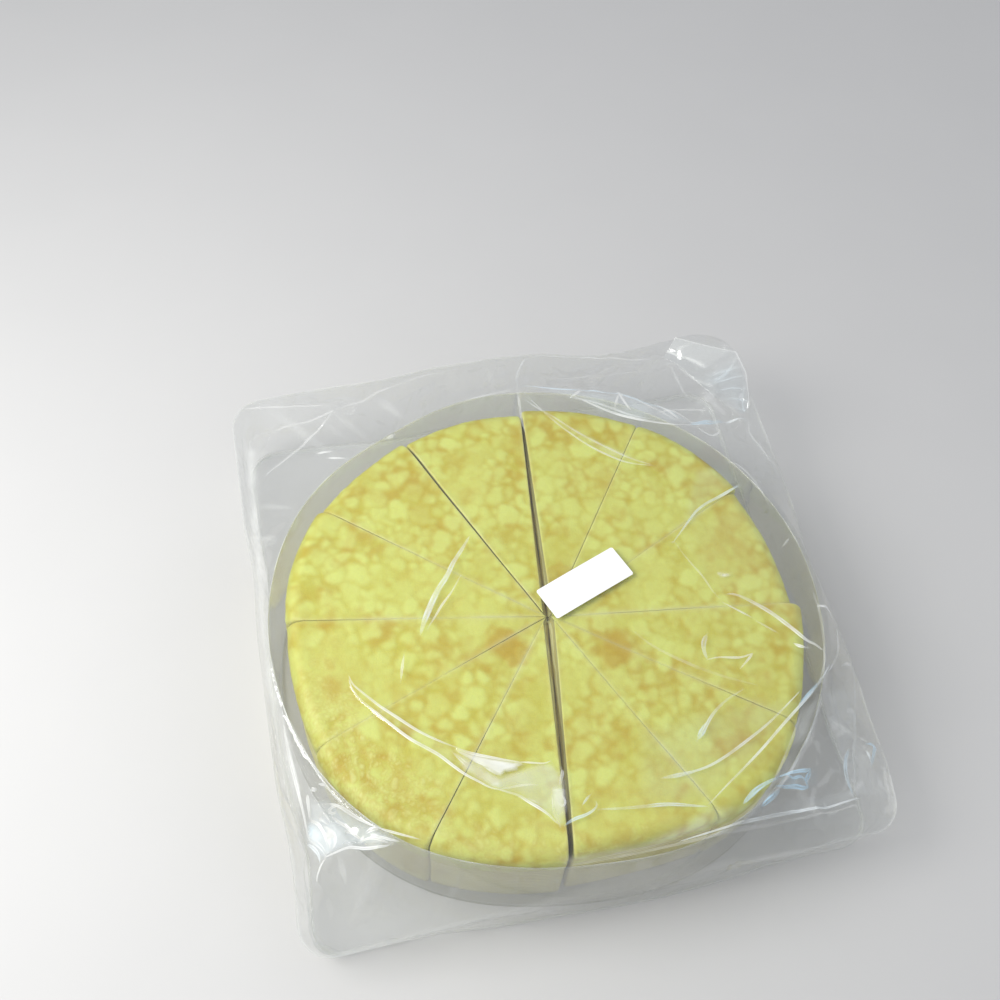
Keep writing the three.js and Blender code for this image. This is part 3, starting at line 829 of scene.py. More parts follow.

# The film's sharp folds as the photograph shows them, in its pixels. Each has its height and half width in
# mm, how strong its painted highlight and crease whitening are, how blue its painted reflection is, where
# along it it is widest, and its crest's places.
FOLD_LINES = {
    "left_streak": (0.9, 1.6, 0.75, 0.25, 0.8, [
        (469, 537), (462, 550), (453, 563), (447, 577), (439, 588), (433, 600), (428, 612), (423, 625),
        (421, 633)]),
    "left_twin": (0.5, 0.6, 0.55, 0, 0.6, [(460, 577), (452, 592), (442.5, 604), (435, 617.5), (428, 628)]),
    "left_dash": (0.3, 0.7, 0.45, 0, 0.5, [(404, 655), (402, 668), (401, 680)]),
    "front_upper": (1.0, 0.75, 0.75, 0, 0.5, [
        (349, 676), (352, 684), (360, 691), (370, 699), (380, 707), (400, 720), (420, 733), (440, 742),
        (460, 749)]),
    "front_upper_end": (0.7, 0.7, 0.9, 0, 0.3, [
        (456, 748.5), (471, 754), (490, 757.5), (510, 761), (520, 762)]),
    "front_upper_tip": (0.4, 0.45, 0.75, 0, 0.3, [(520, 762), (535, 763), (545, 763.5), (551, 760.6)]),
    "front_tongue": (0.7, 1.7, 0.8, 0, 0.6, [
        (456, 750), (468, 756), (480, 762), (492, 766), (506, 766), (522, 763.5)]),
    "front_tongue_low": (0.5, 1.2, 0.6, 0, 0.4, [(480, 763), (490, 769), (499, 775), (505, 771)]),
    "front_fork": (0.5, 0.9, 0.6, 0, 0.5, [(453, 753), (465, 764), (476, 772.5)]),
    "front_lower": (1.1, 0.8, 0.9, 0, 0.6, [
        (349, 680), (352, 690), (362, 702), (376, 713), (392, 726), (410, 740), (425, 748), (440, 756),
        (452.5, 766), (465, 775), (477.5, 781), (490, 788), (500, 790)]),
    "front_lower_end": (0.9, 0.7, 0.9, 0, 0.6, [
        (496, 789), (510, 793), (520, 796), (527.5, 802), (540, 809), (550, 816), (555, 822), (560, 825)]),
    "front_lower_glow": (0.3, 1.2, 0.6, 0, 0.6, [(518, 797), (526, 800), (533, 803), (541, 806)]),
    "front_third": (0.4, 0.5, 0.7, 0, 0.4, [
        (499, 789.5), (510, 788), (520, 785.6), (530, 784.4), (541, 785)]),
    "knot_a": (0.6, 0.9, 0.9, 0, 0.3, [(561.5, 769), (563, 773), (561, 779), (560, 786)]),
    "knot_b": (0.5, 0.5, 0.8, 0, 0.5, [(551, 791), (557, 790), (565, 789.4)]),
    "knot_c": (0.5, 0.5, 0.8, 0, 0.5, [
        (565, 789), (561, 794), (565, 799), (565.5, 804), (562, 807.5), (558, 801), (555.5, 794)]),
    "knot_d": (0.5, 1.0, 0.85, 0, 0.6, [(552, 792), (553.5, 801), (554, 810), (556, 817.5), (560, 825)]),
    "knot_e": (0.5, 0.8, 0.7, 0.55, 0.3, [
        (565, 825), (572.5, 820), (578, 817.5), (586, 815), (594, 810), (597.5, 805), (596, 801)]),
    "knot_f": (0.4, 0.6, 0.55, 0.5, 0.5, [(582.5, 805), (587.5, 797.5), (591, 794)]),
    "back_upper": (0.6, 0.6, 0.5, 0, 0.7, [
        (520, 395), (535, 407), (555, 417), (580, 434), (605, 447), (630, 459), (652, 465)]),
    "back_lower": (0.6, 0.6, 0.5, 0, 0.7, [
        (522, 390), (530, 399), (542, 410), (562, 427), (585, 444), (610, 457), (630, 464), (651, 465.5)]),
    "back_tie_up": (0.7, 0.7, 0.5, 0.1, 0.4, [(518, 388), (516, 380), (520, 366), (527, 357)]),
    "back_tie_down": (0.5, 0.7, 0.5, 0, 0.3, [(517, 387), (519, 400), (521, 416), (525, 432)]),
    "back_tie_left": (0.7, 0.7, 0.35, 0, 0.3, [(516, 388), (500, 392), (480, 396), (455, 402)]),
    "back_band_top": (0.7, 0.7, 0.7, 0.45, 0.3, [
        (519, 386), (527, 385), (555, 388), (580, 390), (600, 391), (620, 394), (642, 401), (665, 407),
        (680, 417), (690, 422)]),
    "back_band_low": (0.6, 0.6, 0.8, 0, 0.5, [
        (572, 395), (592, 404), (615, 414), (640, 420), (670, 424), (692, 424)]),
    "back_knot_a": (0.8, 0.9, 0.95, 0, 0.3, [(617, 391), (620, 395), (624, 396)]),
    "back_knot_b": (0.7, 0.7, 0.85, 0, 0.4, [(618, 392), (623, 400), (631, 410)]),
    "back_knot_c": (0.6, 0.7, 0.7, 0, 0.5, [(570, 397), (577, 393), (583, 389)]),
    "back_knot_d": (0.5, 0.6, 0.7, 0, 0.5, [(655, 402), (668, 410), (681, 420)]),
    "back_mid_a": (0.5, 0.6, 0.65, 0.1, 0.5, [
        (570, 397), (593, 401), (614, 409), (633, 416.5), (658, 419.5)]),
    "back_mid_b": (0.5, 0.5, 0.6, 0, 0.5, [(633, 398), (649, 404.5), (664, 413), (678, 420)]),
    "back_mid_c": (0.4, 0.5, 0.6, 0, 0.4, [(653, 416.5), (667, 409), (676, 411), (693, 422)]),
    "back_mid_d": (0.4, 0.6, 0.65, 0, 0.5, [(619, 393), (615.5, 404.5), (614, 411)]),
    "back_line": (0.6, 0.6, 0.5, 0, 0.5, [(672, 409), (695, 409), (720, 409)]),
    "back_shine": (0.7, 1.4, 1.0, 0.7, 0.5, [(690, 424), (705, 421), (725, 419)]),
    "back_shine_end": (0.6, 0.6, 0.9, 0.1, 0.3, [(725, 419), (737, 416), (750, 417)]),
    "back_loop": (0.4, 0.5, 0.6, 0, 0.5, [(697, 426), (710, 434), (719, 432), (721, 427), (712, 425)]),
    "back_edge_in": (0.7, 0.6, 0.45, 0, 0.5, [
        (530, 359), (535, 354.5), (570, 355), (605, 355), (665, 356.5)]),
    "back_right_a": (0.9, 1.0, 0.5, 0, 0.5, [
        (665, 357), (677, 362), (695, 375), (720, 390), (730, 405), (748, 417)]),
    "back_right_b": (0.7, 0.9, 0.35, 0, 0.5, [(668, 360), (678, 376), (686, 392), (692, 402)]),
    "back_cross_a": (0.6, 0.6, 0.22, 0, 0.5, [(535, 375), (580, 377), (600, 371), (622, 361)]),
    "back_cross_b": (0.5, 0.5, 0.18, 0, 0.5, [(583, 380), (620, 372), (680, 366)]),
    "right_shoulder": (0.7, 0.7, 0.4, 0, 0.5, [(750, 418), (750, 435), (765, 452), (780, 477), (795, 508)]),
    "right_fold": (0.5, 0.6, 0.3, 0, 0.5, [(722, 461), (738, 462), (757, 482), (772, 508)]),
    "right_cross": (0.4, 0.6, 0.3, 0, 0.5, [(782, 547), (790, 537), (800, 528)]),
    "right_upper": (0.6, 0.8, 0.65, 0.45, 0.15, [
        (739, 485), (730, 490), (712, 500), (702, 506), (695, 512), (688, 522), (680, 533), (674, 541)]),
    "right_faint": (0.5, 0.5, 0.3, 0, 0.7, [(674, 541), (688, 560), (702, 575), (713, 592), (720, 599)]),
    "right_bright": (1.2, 1.1, 1.0, 0, 0.45, [
        (727, 594), (733, 594), (743, 597.5), (757, 605), (770, 612.5), (783, 621), (797, 632), (807, 641),
        (815, 644), (822.5, 650)]),
    "right_twin_a": (0.4, 0.5, 0.55, 0, 0.7, [(722, 602), (737, 610), (752, 617.5)]),
    "right_twin_b": (0.4, 0.5, 0.35, 0, 0.5, [(755, 620), (767, 627), (778, 632.5)]),
    "tick_down": (0.5, 1.3, 0.6, 0.3, 0.3, [(707, 634), (703, 643), (704, 652), (707, 659)]),
    "tick_across": (0.4, 0.6, 0.65, 0, 0.6, [(707, 660), (718, 657), (733, 658), (743, 657.5), (753, 653)]),
    "tick_back": (0.4, 0.6, 0.6, 0, 0.3, [(753, 653), (748, 660), (740, 669)]),
    "facet_edge": (0.7, 0.8, 0.18, 0, 0.5, [
        (632, 630), (650, 645), (673, 657), (695, 667), (723, 677), (757, 685)]),
    "right_knot_a": (0.5, 0.8, 0.8, 0, 0.5, [(794, 643), (799, 646), (806, 647)]),
    "right_knot_b": (0.8, 0.8, 0.9, 0, 0.4, [(818, 605), (824, 606), (828, 609), (831, 616), (834, 624)]),
    "right_knot_c": (0.7, 0.7, 0.6, 0, 0.4, [(831, 616), (836, 628), (838, 642), (837, 658), (828, 672)]),
    "right_dash": (0.6, 0.9, 0.9, 0, 0.5, [(841, 665.5), (846, 665), (852, 666)]),
    "right_sleeve": (0.6, 0.6, 0.4, 0, 0.5, [(813, 590), (820, 610), (824, 640), (825, 665), (818, 684)]),
    "right_curve": (0.5, 0.8, 0.6, 0.3, 0.8, [(742, 690), (726, 700), (714, 712), (708, 722), (700, 738)]),
    "right_curve_end": (0.5, 1.5, 0.7, 0.5, 0.6, [(708, 722), (703, 730), (698, 739)]),
    "low_inner": (0.6, 0.7, 0.75, 0.25, 0.5, [
        (662, 778), (684, 774), (708, 767), (728, 755), (748, 740), (768, 724), (784, 708), (800, 691)]),
    "low_inner_end": (0.5, 1.1, 0.55, 0.3, 0.5, [(662, 778), (680, 775), (696, 771)]),
    "low_outer": (0.7, 0.7, 0.75, 0.2, 0.6, [
        (709, 804), (726, 786), (746, 766), (764, 747), (780, 728), (796, 710), (810, 695), (823, 677),
        (830, 664)]),
    "low_blue": (0.5, 0.8, 0.6, 0.9, 0.5, [(798, 706), (808, 695), (818, 683)]),
    "low_right": (0.5, 0.9, 0.7, 0.35, 0.6, [
        (600, 809), (620, 808.5), (640, 807), (666, 804), (690, 805), (708, 806)]),
    "low_band_in": (0.5, 0.6, 0.35, 0.1, 0.5, [(802, 710), (790, 745), (778, 773), (767, 794), (752, 808)]),
    "low_band_out": (0.5, 0.6, 0.4, 0.1, 0.5, [(822, 696), (814, 725), (798, 760), (780, 788), (760, 808)]),
    "crinkle_a": (0.9, 1.3, 0.95, 0.8, 0.3, [(744, 803), (750, 796), (757, 789), (768, 782), (778, 778)]),
    "crinkle_b": (0.9, 0.8, 1.0, 0.8, 0.8, [(778, 777), (788, 774), (799, 771), (807, 770), (812, 767.5)]),
    "crinkle_f": (0.7, 1.1, 0.9, 1.0, 0.5, [(812, 768), (810, 774), (806, 779), (811, 784)]),
    "crinkle_c": (0.8, 1.0, 0.95, 0.9, 0.3, [(811, 784), (803, 787), (795, 786), (784, 787), (776, 786)]),
    "crinkle_d": (0.7, 1.2, 0.9, 0.95, 0.5, [(762, 806), (771, 798), (780, 790)]),
    "crinkle_e": (0.6, 0.6, 0.8, 0.9, 0.5, [(787, 775), (793, 779.5), (800, 775.5), (807, 778.5)]),
    "front_fold": (0.9, 0.7, 1.0, 0.15, 0.55, [
        (680, 841), (690, 838), (720, 829), (750, 821), (780, 813.5), (805, 809), (831, 804.5), (860, 799)]),
    "front_fold_low": (0.6, 0.7, 0.3, 0, 0.5, [
        (560, 866), (601, 860), (642, 852), (672, 845), (703, 838), (760, 826), (810, 816), (860, 805)]),
    "panel_edge": (0.8, 0.7, 0.4, 0.1, 0.6, [(852, 668), (855, 690), (854, 720), (855, 750), (854, 794)]),
    "panel_shine": (0.7, 1.2, 1.0, 0.45, 0.5, [(850, 748), (846, 760), (846, 772), (852, 794)]),
    "panel_top": (0.7, 0.7, 0.4, 0, 0.5, [(854, 738), (868, 743), (882, 748)]),
    "panel_side": (0.7, 0.9, 0.45, 0, 0.5, [(882, 748), (884, 765), (886, 782), (896, 800)]),
    "panel_knot": (0.7, 1.2, 1.0, 0.8, 0.4, [(866, 745), (874, 746), (872, 757), (871, 767)]),
    "panel_knot_b": (0.6, 0.7, 0.85, 0.2, 0.5, [(865, 752), (869, 760), (870, 768)]),
    "left_side_a": (0.8, 0.7, 0.75, 0, 0.6, [
        (282, 712), (285, 735), (289.5, 760), (295, 780), (301, 803), (306, 825), (308, 838)]),
    "left_side_b": (0.6, 0.45, 0.75, 0, 0.5, [(286, 735), (291.5, 760), (297, 780), (300.5, 792)]),
    "left_rim": (0.4, 0.4, 0.55, 0, 0.6, [
        (290, 720), (307, 755), (320, 777), (334, 796), (346, 808), (358, 816)]),
    "left_rim_end": (0.5, 0.6, 0.8, 0, 0.3, [(379, 828), (388, 831), (400, 834), (420, 839)]),
    "corner_left": (1.0, 0.8, 0.95, 0, 0.25, [(307, 793), (308, 803), (309, 811), (310, 820)]),
    "corner_slant": (1.0, 0.7, 0.9, 0, 0.4, [(310, 820), (318, 825), (323, 832), (326, 840), (329, 850)]),
    "corner_glow_a": (0.8, 1.7, 0.85, 0, 0.5, [(316, 815), (323, 818), (330, 825)]),
    "corner_glow_b": (0.9, 2.6, 0.9, 0, 0.5, [(323, 829), (329, 836), (334, 843), (331, 852)]),
    "corner_top": (1.0, 0.7, 1.0, 0, 0.4, [
        (328, 804), (338, 806), (349, 813), (357, 818), (367, 823), (375, 827), (381, 829)]),
    "corner_knot_a": (0.6, 0.6, 0.9, 0, 0.5, [(338, 806), (331, 808), (328, 812), (333, 815), (338, 811)]),
    "corner_knot_b": (0.6, 0.7, 0.6, 0, 0.5, [(310, 806), (317, 808), (324, 806), (330, 803)]),
    "corner_knot_c": (0.5, 0.8, 0.5, 0.1, 0.5, [(312, 813), (320, 811), (327, 813), (332, 818)]),
    "corner_mid": (0.9, 0.7, 0.95, 0, 0.7, [(331, 817), (341, 824), (350, 830), (355, 836), (361, 840)]),
    "corner_mid_b": (0.4, 0.5, 0.8, 0, 0.5, [(344, 832), (351, 833), (356, 837)]),
    "corner_tongue": (0.7, 0.9, 0.95, 0, 0.4, [(365, 835), (369, 831), (374, 829.5), (380, 829)]),
    "corner_tip": (0.6, 0.5, 0.9, 0, 0.6, [(368, 836), (381, 838), (391, 840), (399, 841)]),
    "corner_loop_a": (0.6, 0.6, 0.9, 0, 0.5, [(359, 845), (365, 840), (372, 839), (381, 841), (389, 844)]),
    "corner_loop_b": (0.9, 0.6, 1.0, 0, 0.7, [
        (325, 858.5), (335, 854.5), (345, 849.5), (355, 848), (365, 850), (375, 849), (385, 847.5),
        (390, 845)]),
    "corner_loop_c": (0.3, 1.3, 0.6, 0.1, 0.5, [(362, 846), (372, 845), (384, 845)]),
    "corner_fan_a": (0.9, 0.9, 0.9, 0.1, 0.4, [(308, 838), (314, 843), (320, 847), (325, 853), (326, 858)]),
    "corner_fan_b": (0.8, 0.7, 0.85, 0.2, 0.4, [(308, 845), (314, 849), (319, 855), (320, 863)]),
    "corner_tick_a": (0.5, 0.9, 0.95, 0, 0.2, [(310, 788), (314, 789.5), (317, 789.5)]),
    "corner_tick_b": (0.5, 0.5, 0.75, 0, 0.5, [(318, 783), (321, 784), (326, 785.5)]),
    "corner_tail": (0.8, 0.45, 0.7, 0, 0.3, [(326, 859), (321, 865), (319, 872), (317, 878), (317.5, 885)]),
    "corner_rise": (0.15, 1.2, 0.18, 0, 0.5, [(338, 856), (343, 870), (346, 886)]),
    "seam": (0.7, 0.6, 0.4, 0, 0.4, [(242, 408), (262, 407.5), (280, 407.5), (330, 407.5), (350, 407)]),
    "back_left_fold": (0.9, 0.9, 0.38, 0, 0.5, [
        (252, 442), (263, 433), (280, 429), (297, 426), (315, 421), (330, 415), (347, 405), (380, 392),
        (422, 376), (455, 367)]),
    "back_left_low": (0.7, 0.8, 0.38, 0, 0.5, [(265, 476), (285, 460), (308, 440), (323, 427), (333, 413)]),
    "tick_a": (0.5, 0.7, 0.6, 0, 0.3, [(316, 453), (325, 452), (333, 451.5)]),
    "tick_b": (0.5, 0.7, 0.6, 0, 0.3, [(327.5, 457.5), (337, 458), (347, 458)]),
    "rim_glint": (0.4, 1.0, 0.8, 0, 0.5, [(386, 438), (391, 436), (396, 433)]),
    "left_edge_in": (0.5, 1.2, 0.3, 0, 0.5, [(250, 443), (253, 487), (257, 545), (262, 600)]),
}

# Painted glare and veils of reflected light over areas of the film, in the photograph's pixels: how much,
# how soft its edge is in mm, how blue its painted reflection is, and its outline.
PAINTED_GLARE_AREAS = {
    "wedge_bright": (0.55, 1.2, 0, [
        (454, 749), (471, 754), (492, 759), (510, 762), (522, 764), (514, 769), (505, 771), (500, 776),
        (492, 772), (481, 766), (465, 757)]),
    "wedge_low": (0.25, 1.5, 0, [(456, 753), (480, 766), (500, 778), (499, 789), (478, 780), (462, 768)]),
    "wedge": (0.26, 1.5, 0.1, [
        (488, 786), (504, 776), (540, 764), (552, 764), (566, 782), (560, 824), (540, 808), (520, 796)]),
    "between": (0.05, 1.5, 0, [(352, 684), (400, 722), (450, 746), (462, 772), (430, 752), (376, 711)]),
    "knot": (0.35, 1.5, 0, [(553, 788), (566, 790), (566, 812), (560, 825), (552, 806)]),
    "back_band": (0.14, 2.0, 0.3, [
        (527, 386), (580, 391), (620, 394), (665, 408), (690, 422), (640, 420), (604, 412), (572, 396)]),
    "back_streak": (0.1, 1.5, 0, [(530, 400), (600, 442), (650, 464), (610, 456), (560, 424)]),
    "corner": (0.3, 2.5, 0.25, [
        (309, 800), (330, 803), (345, 808), (366, 822), (383, 832), (397, 842), (377, 848), (350, 848),
        (326, 858), (318, 858), (309, 845)]),
    "corner_blue": (0.25, 1.2, 0.5, [(308, 824), (317, 828), (322, 838), (318, 846), (308, 838)]),
    "right_facet": (0.02, 6.0, 0, [
        (674, 541), (739, 487), (770, 520), (800, 570), (815, 640), (760, 612), (722, 600)]),
    "lower_facet": (0.05, 6.0, 0.5, [(640, 730), (745, 700), (800, 700), (745, 765), (706, 803), (640, 806)]),
    "top_band": (0.06, 3.0, 0.4, [(697, 470), (722, 463), (738, 480), (712, 498), (692, 524), (684, 512)]),
    "right_glint": (0.55, 0.7, 0, [(718, 573), (733, 572.5), (723, 577)]),
    "front_band": (0.08, 2.0, 0.15, [
        (706, 806), (760, 806), (820, 792), (860, 790), (852, 800), (760, 817), (700, 833)]),
    "front_haze": (0.2, 4.0, 0, [(560, 858), (640, 846), (706, 812), (706, 830), (640, 852), (565, 866)]),
    "panel": (0.12, 2.0, 0.1, [(854, 738), (882, 748), (884, 780), (897, 800), (856, 795)]),
    "side_panel": (0.16, 4.0, 0.1, [(826, 690), (855, 690), (854, 794), (845, 770), (830, 740)]),
    "crinkle": (0.1, 1.5, 0.8, [(776, 780), (808, 772), (818, 768), (818, 780), (792, 786), (780, 786)]),
    "sleeve": (0.14, 2.0, 0.1, [(802, 710), (822, 694), (800, 756), (770, 800), (752, 808), (780, 768)]),
    "left_side": (0.18, 3.0, 0, [(270, 650), (284, 712), (298, 780), (300, 850), (290, 800), (272, 720)]),
    "left_edge": (0.2, 3.0, 0, [(246, 450), (256, 450), (264, 600), (276, 700), (266, 700), (252, 560)]),
}

# Where the skirt is crumpled: direction, width in degrees, and how strongly
CRUMPLED = [(48.8, 20.0, 0.7), (218.0, 16.0, 0.7), (-41.9, 18.0, 0.8), (128.0, 30.0, 0.1)]

# The film lies lower at its back right corner, where its sealed end stands up as a flap
FLAP_ROOM = [(48.8, 13.0, -8.5)]
FLAP_INSET = [(50.0, 9.0, 3.5)]


def film_edge(direction):
    """How far the film reaches from the cake's centre."""
    return outline_radius(direction) - bumps_at(direction, FLAP_INSET)


def bag_surface():
    """The CAD bag's faces, to find what a pixel of the photograph looks at."""
    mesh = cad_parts["bag"].data
    corners = [vertex.co.copy() for vertex in mesh.vertices]
    return BVHTree.FromPolygons(corners, [tuple(face.vertices) for face in mesh.polygons])


bag_faces = bag_surface()


def seen_at(pixel):
    """The place, in mm from the cake's centre, where the ray through a pixel meets the bag."""
    across = (pixel[0] - PICTURE_PIXELS / 2) / FOCAL_PIXELS
    down = (pixel[1] - PICTURE_PIXELS / 2) / FOCAL_PIXELS
    ray = CAMERA_AHEAD + CAMERA_RIGHT * across - CAMERA_UP * down
    hit = bag_faces.ray_cast(CAMERA_PLACE, ray.normalized())[0]
    if hit is None:
        return None
    spot = np.array([hit.x, hit.y]) / MM - CAKE_CENTRE
    limit = float(film_edge(direction_of(spot))) - 1.5
    return spot * min(1.0, limit / np.hypot(*spot))


def bent(line, step):
    """A polyline rounded at its corners, with points a step apart."""
    line = np.array(line)
    for _ in range(2):
        near, far = 0.75 * line[:-1] + 0.25 * line[1:], 0.25 * line[:-1] + 0.75 * line[1:]
        line = np.vstack([line[:1], np.stack([near, far], 1).reshape(-1, 2), line[-1:]])
    along = np.append(0, np.cumsum(np.hypot(*np.diff(line, axis=0).T)))
    at = np.linspace(0, along[-1], max(3, int(along[-1] / step) + 1))
    return np.column_stack([np.interp(at, along, line[:, c]) for c in range(2)])


def placed_lines():
    """The fold lines with their places in mm from the cake's centre."""
    placed = []
    for height, half_width, white, blue, peak, pixels in FOLD_LINES.values():
        spots = [spot for spot in map(seen_at, pixels) if spot is not None]
        if len(spots) > 1:
            placed.append((height, half_width, white, blue, peak, bent(spots, 1.1)))
    return placed


def placed_areas():
    """The painted glare areas with their outlines in mm from the cake's centre."""
    placed = []
    for white, soft, blue, pixels in PAINTED_GLARE_AREAS.values():
        spots = [spot for spot in map(seen_at, pixels) if spot is not None]
        placed.append((white, soft, blue, np.array(spots)))
    return placed


fold_lines = placed_lines()
painted_glare_areas = placed_areas()


def near_line(xy, line):
    """Each point's distance to a polyline, and how far along it, 0 to 1, its nearest place lies."""
    distance = np.full(len(xy), 1e9)
    along = np.zeros(len(xy))
    for k, (a, b) in enumerate(zip(line, line[1:])):
        step = b - a
        share = np.clip(((xy - a) @ step) / max(step @ step, 1e-9), 0, 1)
        away = np.hypot(*(xy - a - share[:, None] * step).T)
        nearer = away < distance
        distance = np.where(nearer, away, distance)
        along = np.where(nearer, (k + share) / (len(line) - 1), along)
    return distance, along


def swelling(along, peak):
    """How wide and bright a fold is along its length: tapered at both ends and fullest at its peak."""
    rise = np.where(along < peak, along / peak, (1 - along) / (1 - peak))
    return 0.2 + 0.8 * np.clip(rise, 0, 1) ** 0.5


def inside_outline(xy, outline):
    """Which points lie inside a closed outline."""
    inside = np.zeros(len(xy), bool)
    for a, b in zip(outline, np.roll(outline, -1, axis=0)):
        crosses = (a[1] > xy[:, 1]) != (b[1] > xy[:, 1])
        rise = b[1] - a[1] if abs(b[1] - a[1]) > 1e-9 else 1e-9
        inside ^= crosses & (xy[:, 0] < a[0] + (b[0] - a[0]) * (xy[:, 1] - a[1]) / rise)
    return inside


crumple_fields = [
    (2.4, 1 - np.abs(cloud(24, 44))),
    (1.1, 1 - np.abs(cloud(11, 45))),
    (0.5, np.abs(cloud(5.5, 46))),
]
pleat_draws = np.random.default_rng(47).random((PLEATS, 4))


def pleats_at(direction, out):
    """Small sharp pleats that run outwards from the rim, and how near each point is to a crest."""
    height, crest = np.zeros_like(direction), np.zeros_like(direction)
    for place, width, size, length in pleat_draws:
        away = np.abs(turn_between(place * 360, direction + 6 * (length - 0.5) * out)) / (0.7 + 1.6 * width)
        fades = np.sin(np.pi * np.clip(out / (0.45 + 0.55 * length), 0, 1))
        height += (0.3 + 1.2 * size) * np.exp(-away) * fades
        crest = np.maximum(crest, size * np.exp(-(away / 0.3) ** 2) * fades)
    return height, crest


def film_at(xy):
    """Height in mm, whiteness with painted highlights, and painted blue reflection of the film at points in
    mm from the cake's centre.
    """
    radius = np.hypot(*xy.T)
    direction = direction_of(xy)
    rim = rim_radius(direction)
    room = outline_radius(direction) - rim
    climb = smoothstep(radius, COVER_LIFT_RADIUS, rim - 2 * RIM_WRAP)
    over = FILM_OVER_CAKE + (FILM_OVER_RIM - FILM_OVER_CAKE) * climb
    out = np.clip((radius - rim) / room, 0, 1)
    angle = np.radians(direction)
    edge = EDGE_HEIGHT["middle"] + EDGE_HEIGHT["back_rise"] * np.sin(angle)
    edge = edge + bumps_at(direction, EDGE_BUMPS + FLAP_ROOM)
    ridge = np.abs(np.sin(FOLDS["count"] / 2 * angle + FOLDS["drift"] * np.sin(3 * angle))) - 0.6
    fold = np.minimum(FOLDS["height"], FOLDS["per_room"] * room) * ridge * np.sin(np.pi * out)
    height = np.where(radius <= rim, over, FILM_OVER_RIM + (edge - FILM_OVER_RIM) * out + fold)

    calm = smoothstep(np.hypot(*(xy - LABEL_CENTRE).T), 22, 32)
    height += calm * (1 - out) * (0.16 * sample(film_swell, xy) + 0.04 * sample(film_ripple, xy))
    space = np.minimum(1, room / 14)
    pleat, crest = pleats_at(direction, out)
    height += space * pleat
    # Pleat crests and, further on, the bag's edge are whitened: crease whitening with painted highlights.
    milk_and_highlight = 0.14 * space * crest
    crumple = np.sin(np.pi * np.clip(out * 0.92, 0, 1)) ** 0.7 * space * (0.2 + bumps_at(direction, CRUMPLED))
    for size, field in crumple_fields:
        height += crumple * size * (sample(field, xy) - 0.4)
    milk_and_highlight += 0.25 * smoothstep(out, 0.975, 1.0) * space
    blue = np.zeros(len(xy))

    # Painted glare and reflected veils over the listed areas, patchy.
    patches = np.clip(1 + 0.3 * sample(film_patches, xy), 0.4, 1.5)
    for white, soft, shine, outline in painted_glare_areas:
        low, high = outline.min(0) - 3 * soft, outline.max(0) + 3 * soft
        near = np.all((xy > low) & (xy < high), axis=1)
        spots = xy[near]
        away = near_line(spots, np.vstack([outline, outline[:1]]))[0]
        share = smoothstep(np.where(inside_outline(spots, outline), away, -away), -soft / 2, soft)
        added = white * share * (1 + (patches[near] - 1) * min(1.0, 2.0 / soft))
        blue[near] = np.where(added > milk_and_highlight[near], shine, blue[near])
        milk_and_highlight[near] = milk_and_highlight[near] + added * (1 - milk_and_highlight[near])
    # Painted highlights along the fold lines, with a painted blue reflection on some.
    for lift, half_width, white, shine, peak, line in fold_lines:
        base = 1.6 + 1.5 * half_width
        low, high = line.min(0) - 4 * base, line.max(0) + 4 * base
        near = np.all((xy > low) & (xy < high), axis=1)
        distance, along = near_line(xy[near], line)
        swell = swelling(along, peak)
        height[near] += lift * swell * np.exp(-distance / base)
        across = distance / (half_width * swell)
        strands = 0.8 + 0.2 * np.sin(5.0 * across + 9.0 * along * len(line) / 12 + lift * 40)
        core = np.interp(across, [0, 0.72, 1.0], [0.6, 1.0, 0.0]) * np.where(half_width > 0.8, strands, 1)
        added = 0.85 * white * np.minimum(1, 0.25 + 0.75 * swell) * core * np.clip(patches[near], 0.5, 1.1)
        blue[near] = np.where(added > milk_and_highlight[near], shine, blue[near])
        milk_and_highlight[near] = np.maximum(milk_and_highlight[near], added)
    over = np.maximum(height - FILM_CEILING, 0)
    return height - over + 2 * np.tanh(over / 2), np.clip(milk_and_highlight, 0, 1), blue


def fold_ribbons():
    """Lines along each fold, at its crest and where its painted highlight turns, as point lists."""
    ribbons = []
    for _, half_width, _, _, peak, line in fold_lines:
        along = np.linspace(0, 1, len(line))
        tangent = np.gradient(line, axis=0)
        tangent /= np.hypot(*tangent.T)[:, None]
        beside = np.column_stack([-tangent[:, 1], tangent[:, 0]])
        for share in (-1.0, -0.72, 0.0, 0.72, 1.0):
            ribbons.append(line + share * (half_width * swelling(along, peak))[:, None] * beside)
    return ribbons


def triangular_grid(spacing, reach):
    """Points of equal triangles over a square."""
    rows = []
    for row, y in enumerate(np.arange(-reach, reach, spacing * math.sqrt(3) / 2)):
        xs = np.arange(-reach, reach, spacing) + (spacing / 2 if row % 2 else 0)
        rows.append(np.column_stack([xs, np.full_like(xs, y)]))
    return np.vstack(rows)


def clear_of(points, others, distance):
    """The points that lie further than a distance from all the others."""
    cells = {}
    for other in others.tolist():
        cells.setdefault((int(other[0] // distance), int(other[1] // distance)), []).append(other)
    kept = []
    for x, y in points.tolist():
        column, row = int(x // distance), int(y // distance)
        places = [(column + i, row + j) for i in (-1, 0, 1) for j in (-1, 0, 1)]
        near = (other for place in places for other in cells.get(place, ()))
        if all((x - other[0]) ** 2 + (y - other[1]) ** 2 > distance ** 2 for other in near):
            kept.append((x, y))
    return np.array(kept)


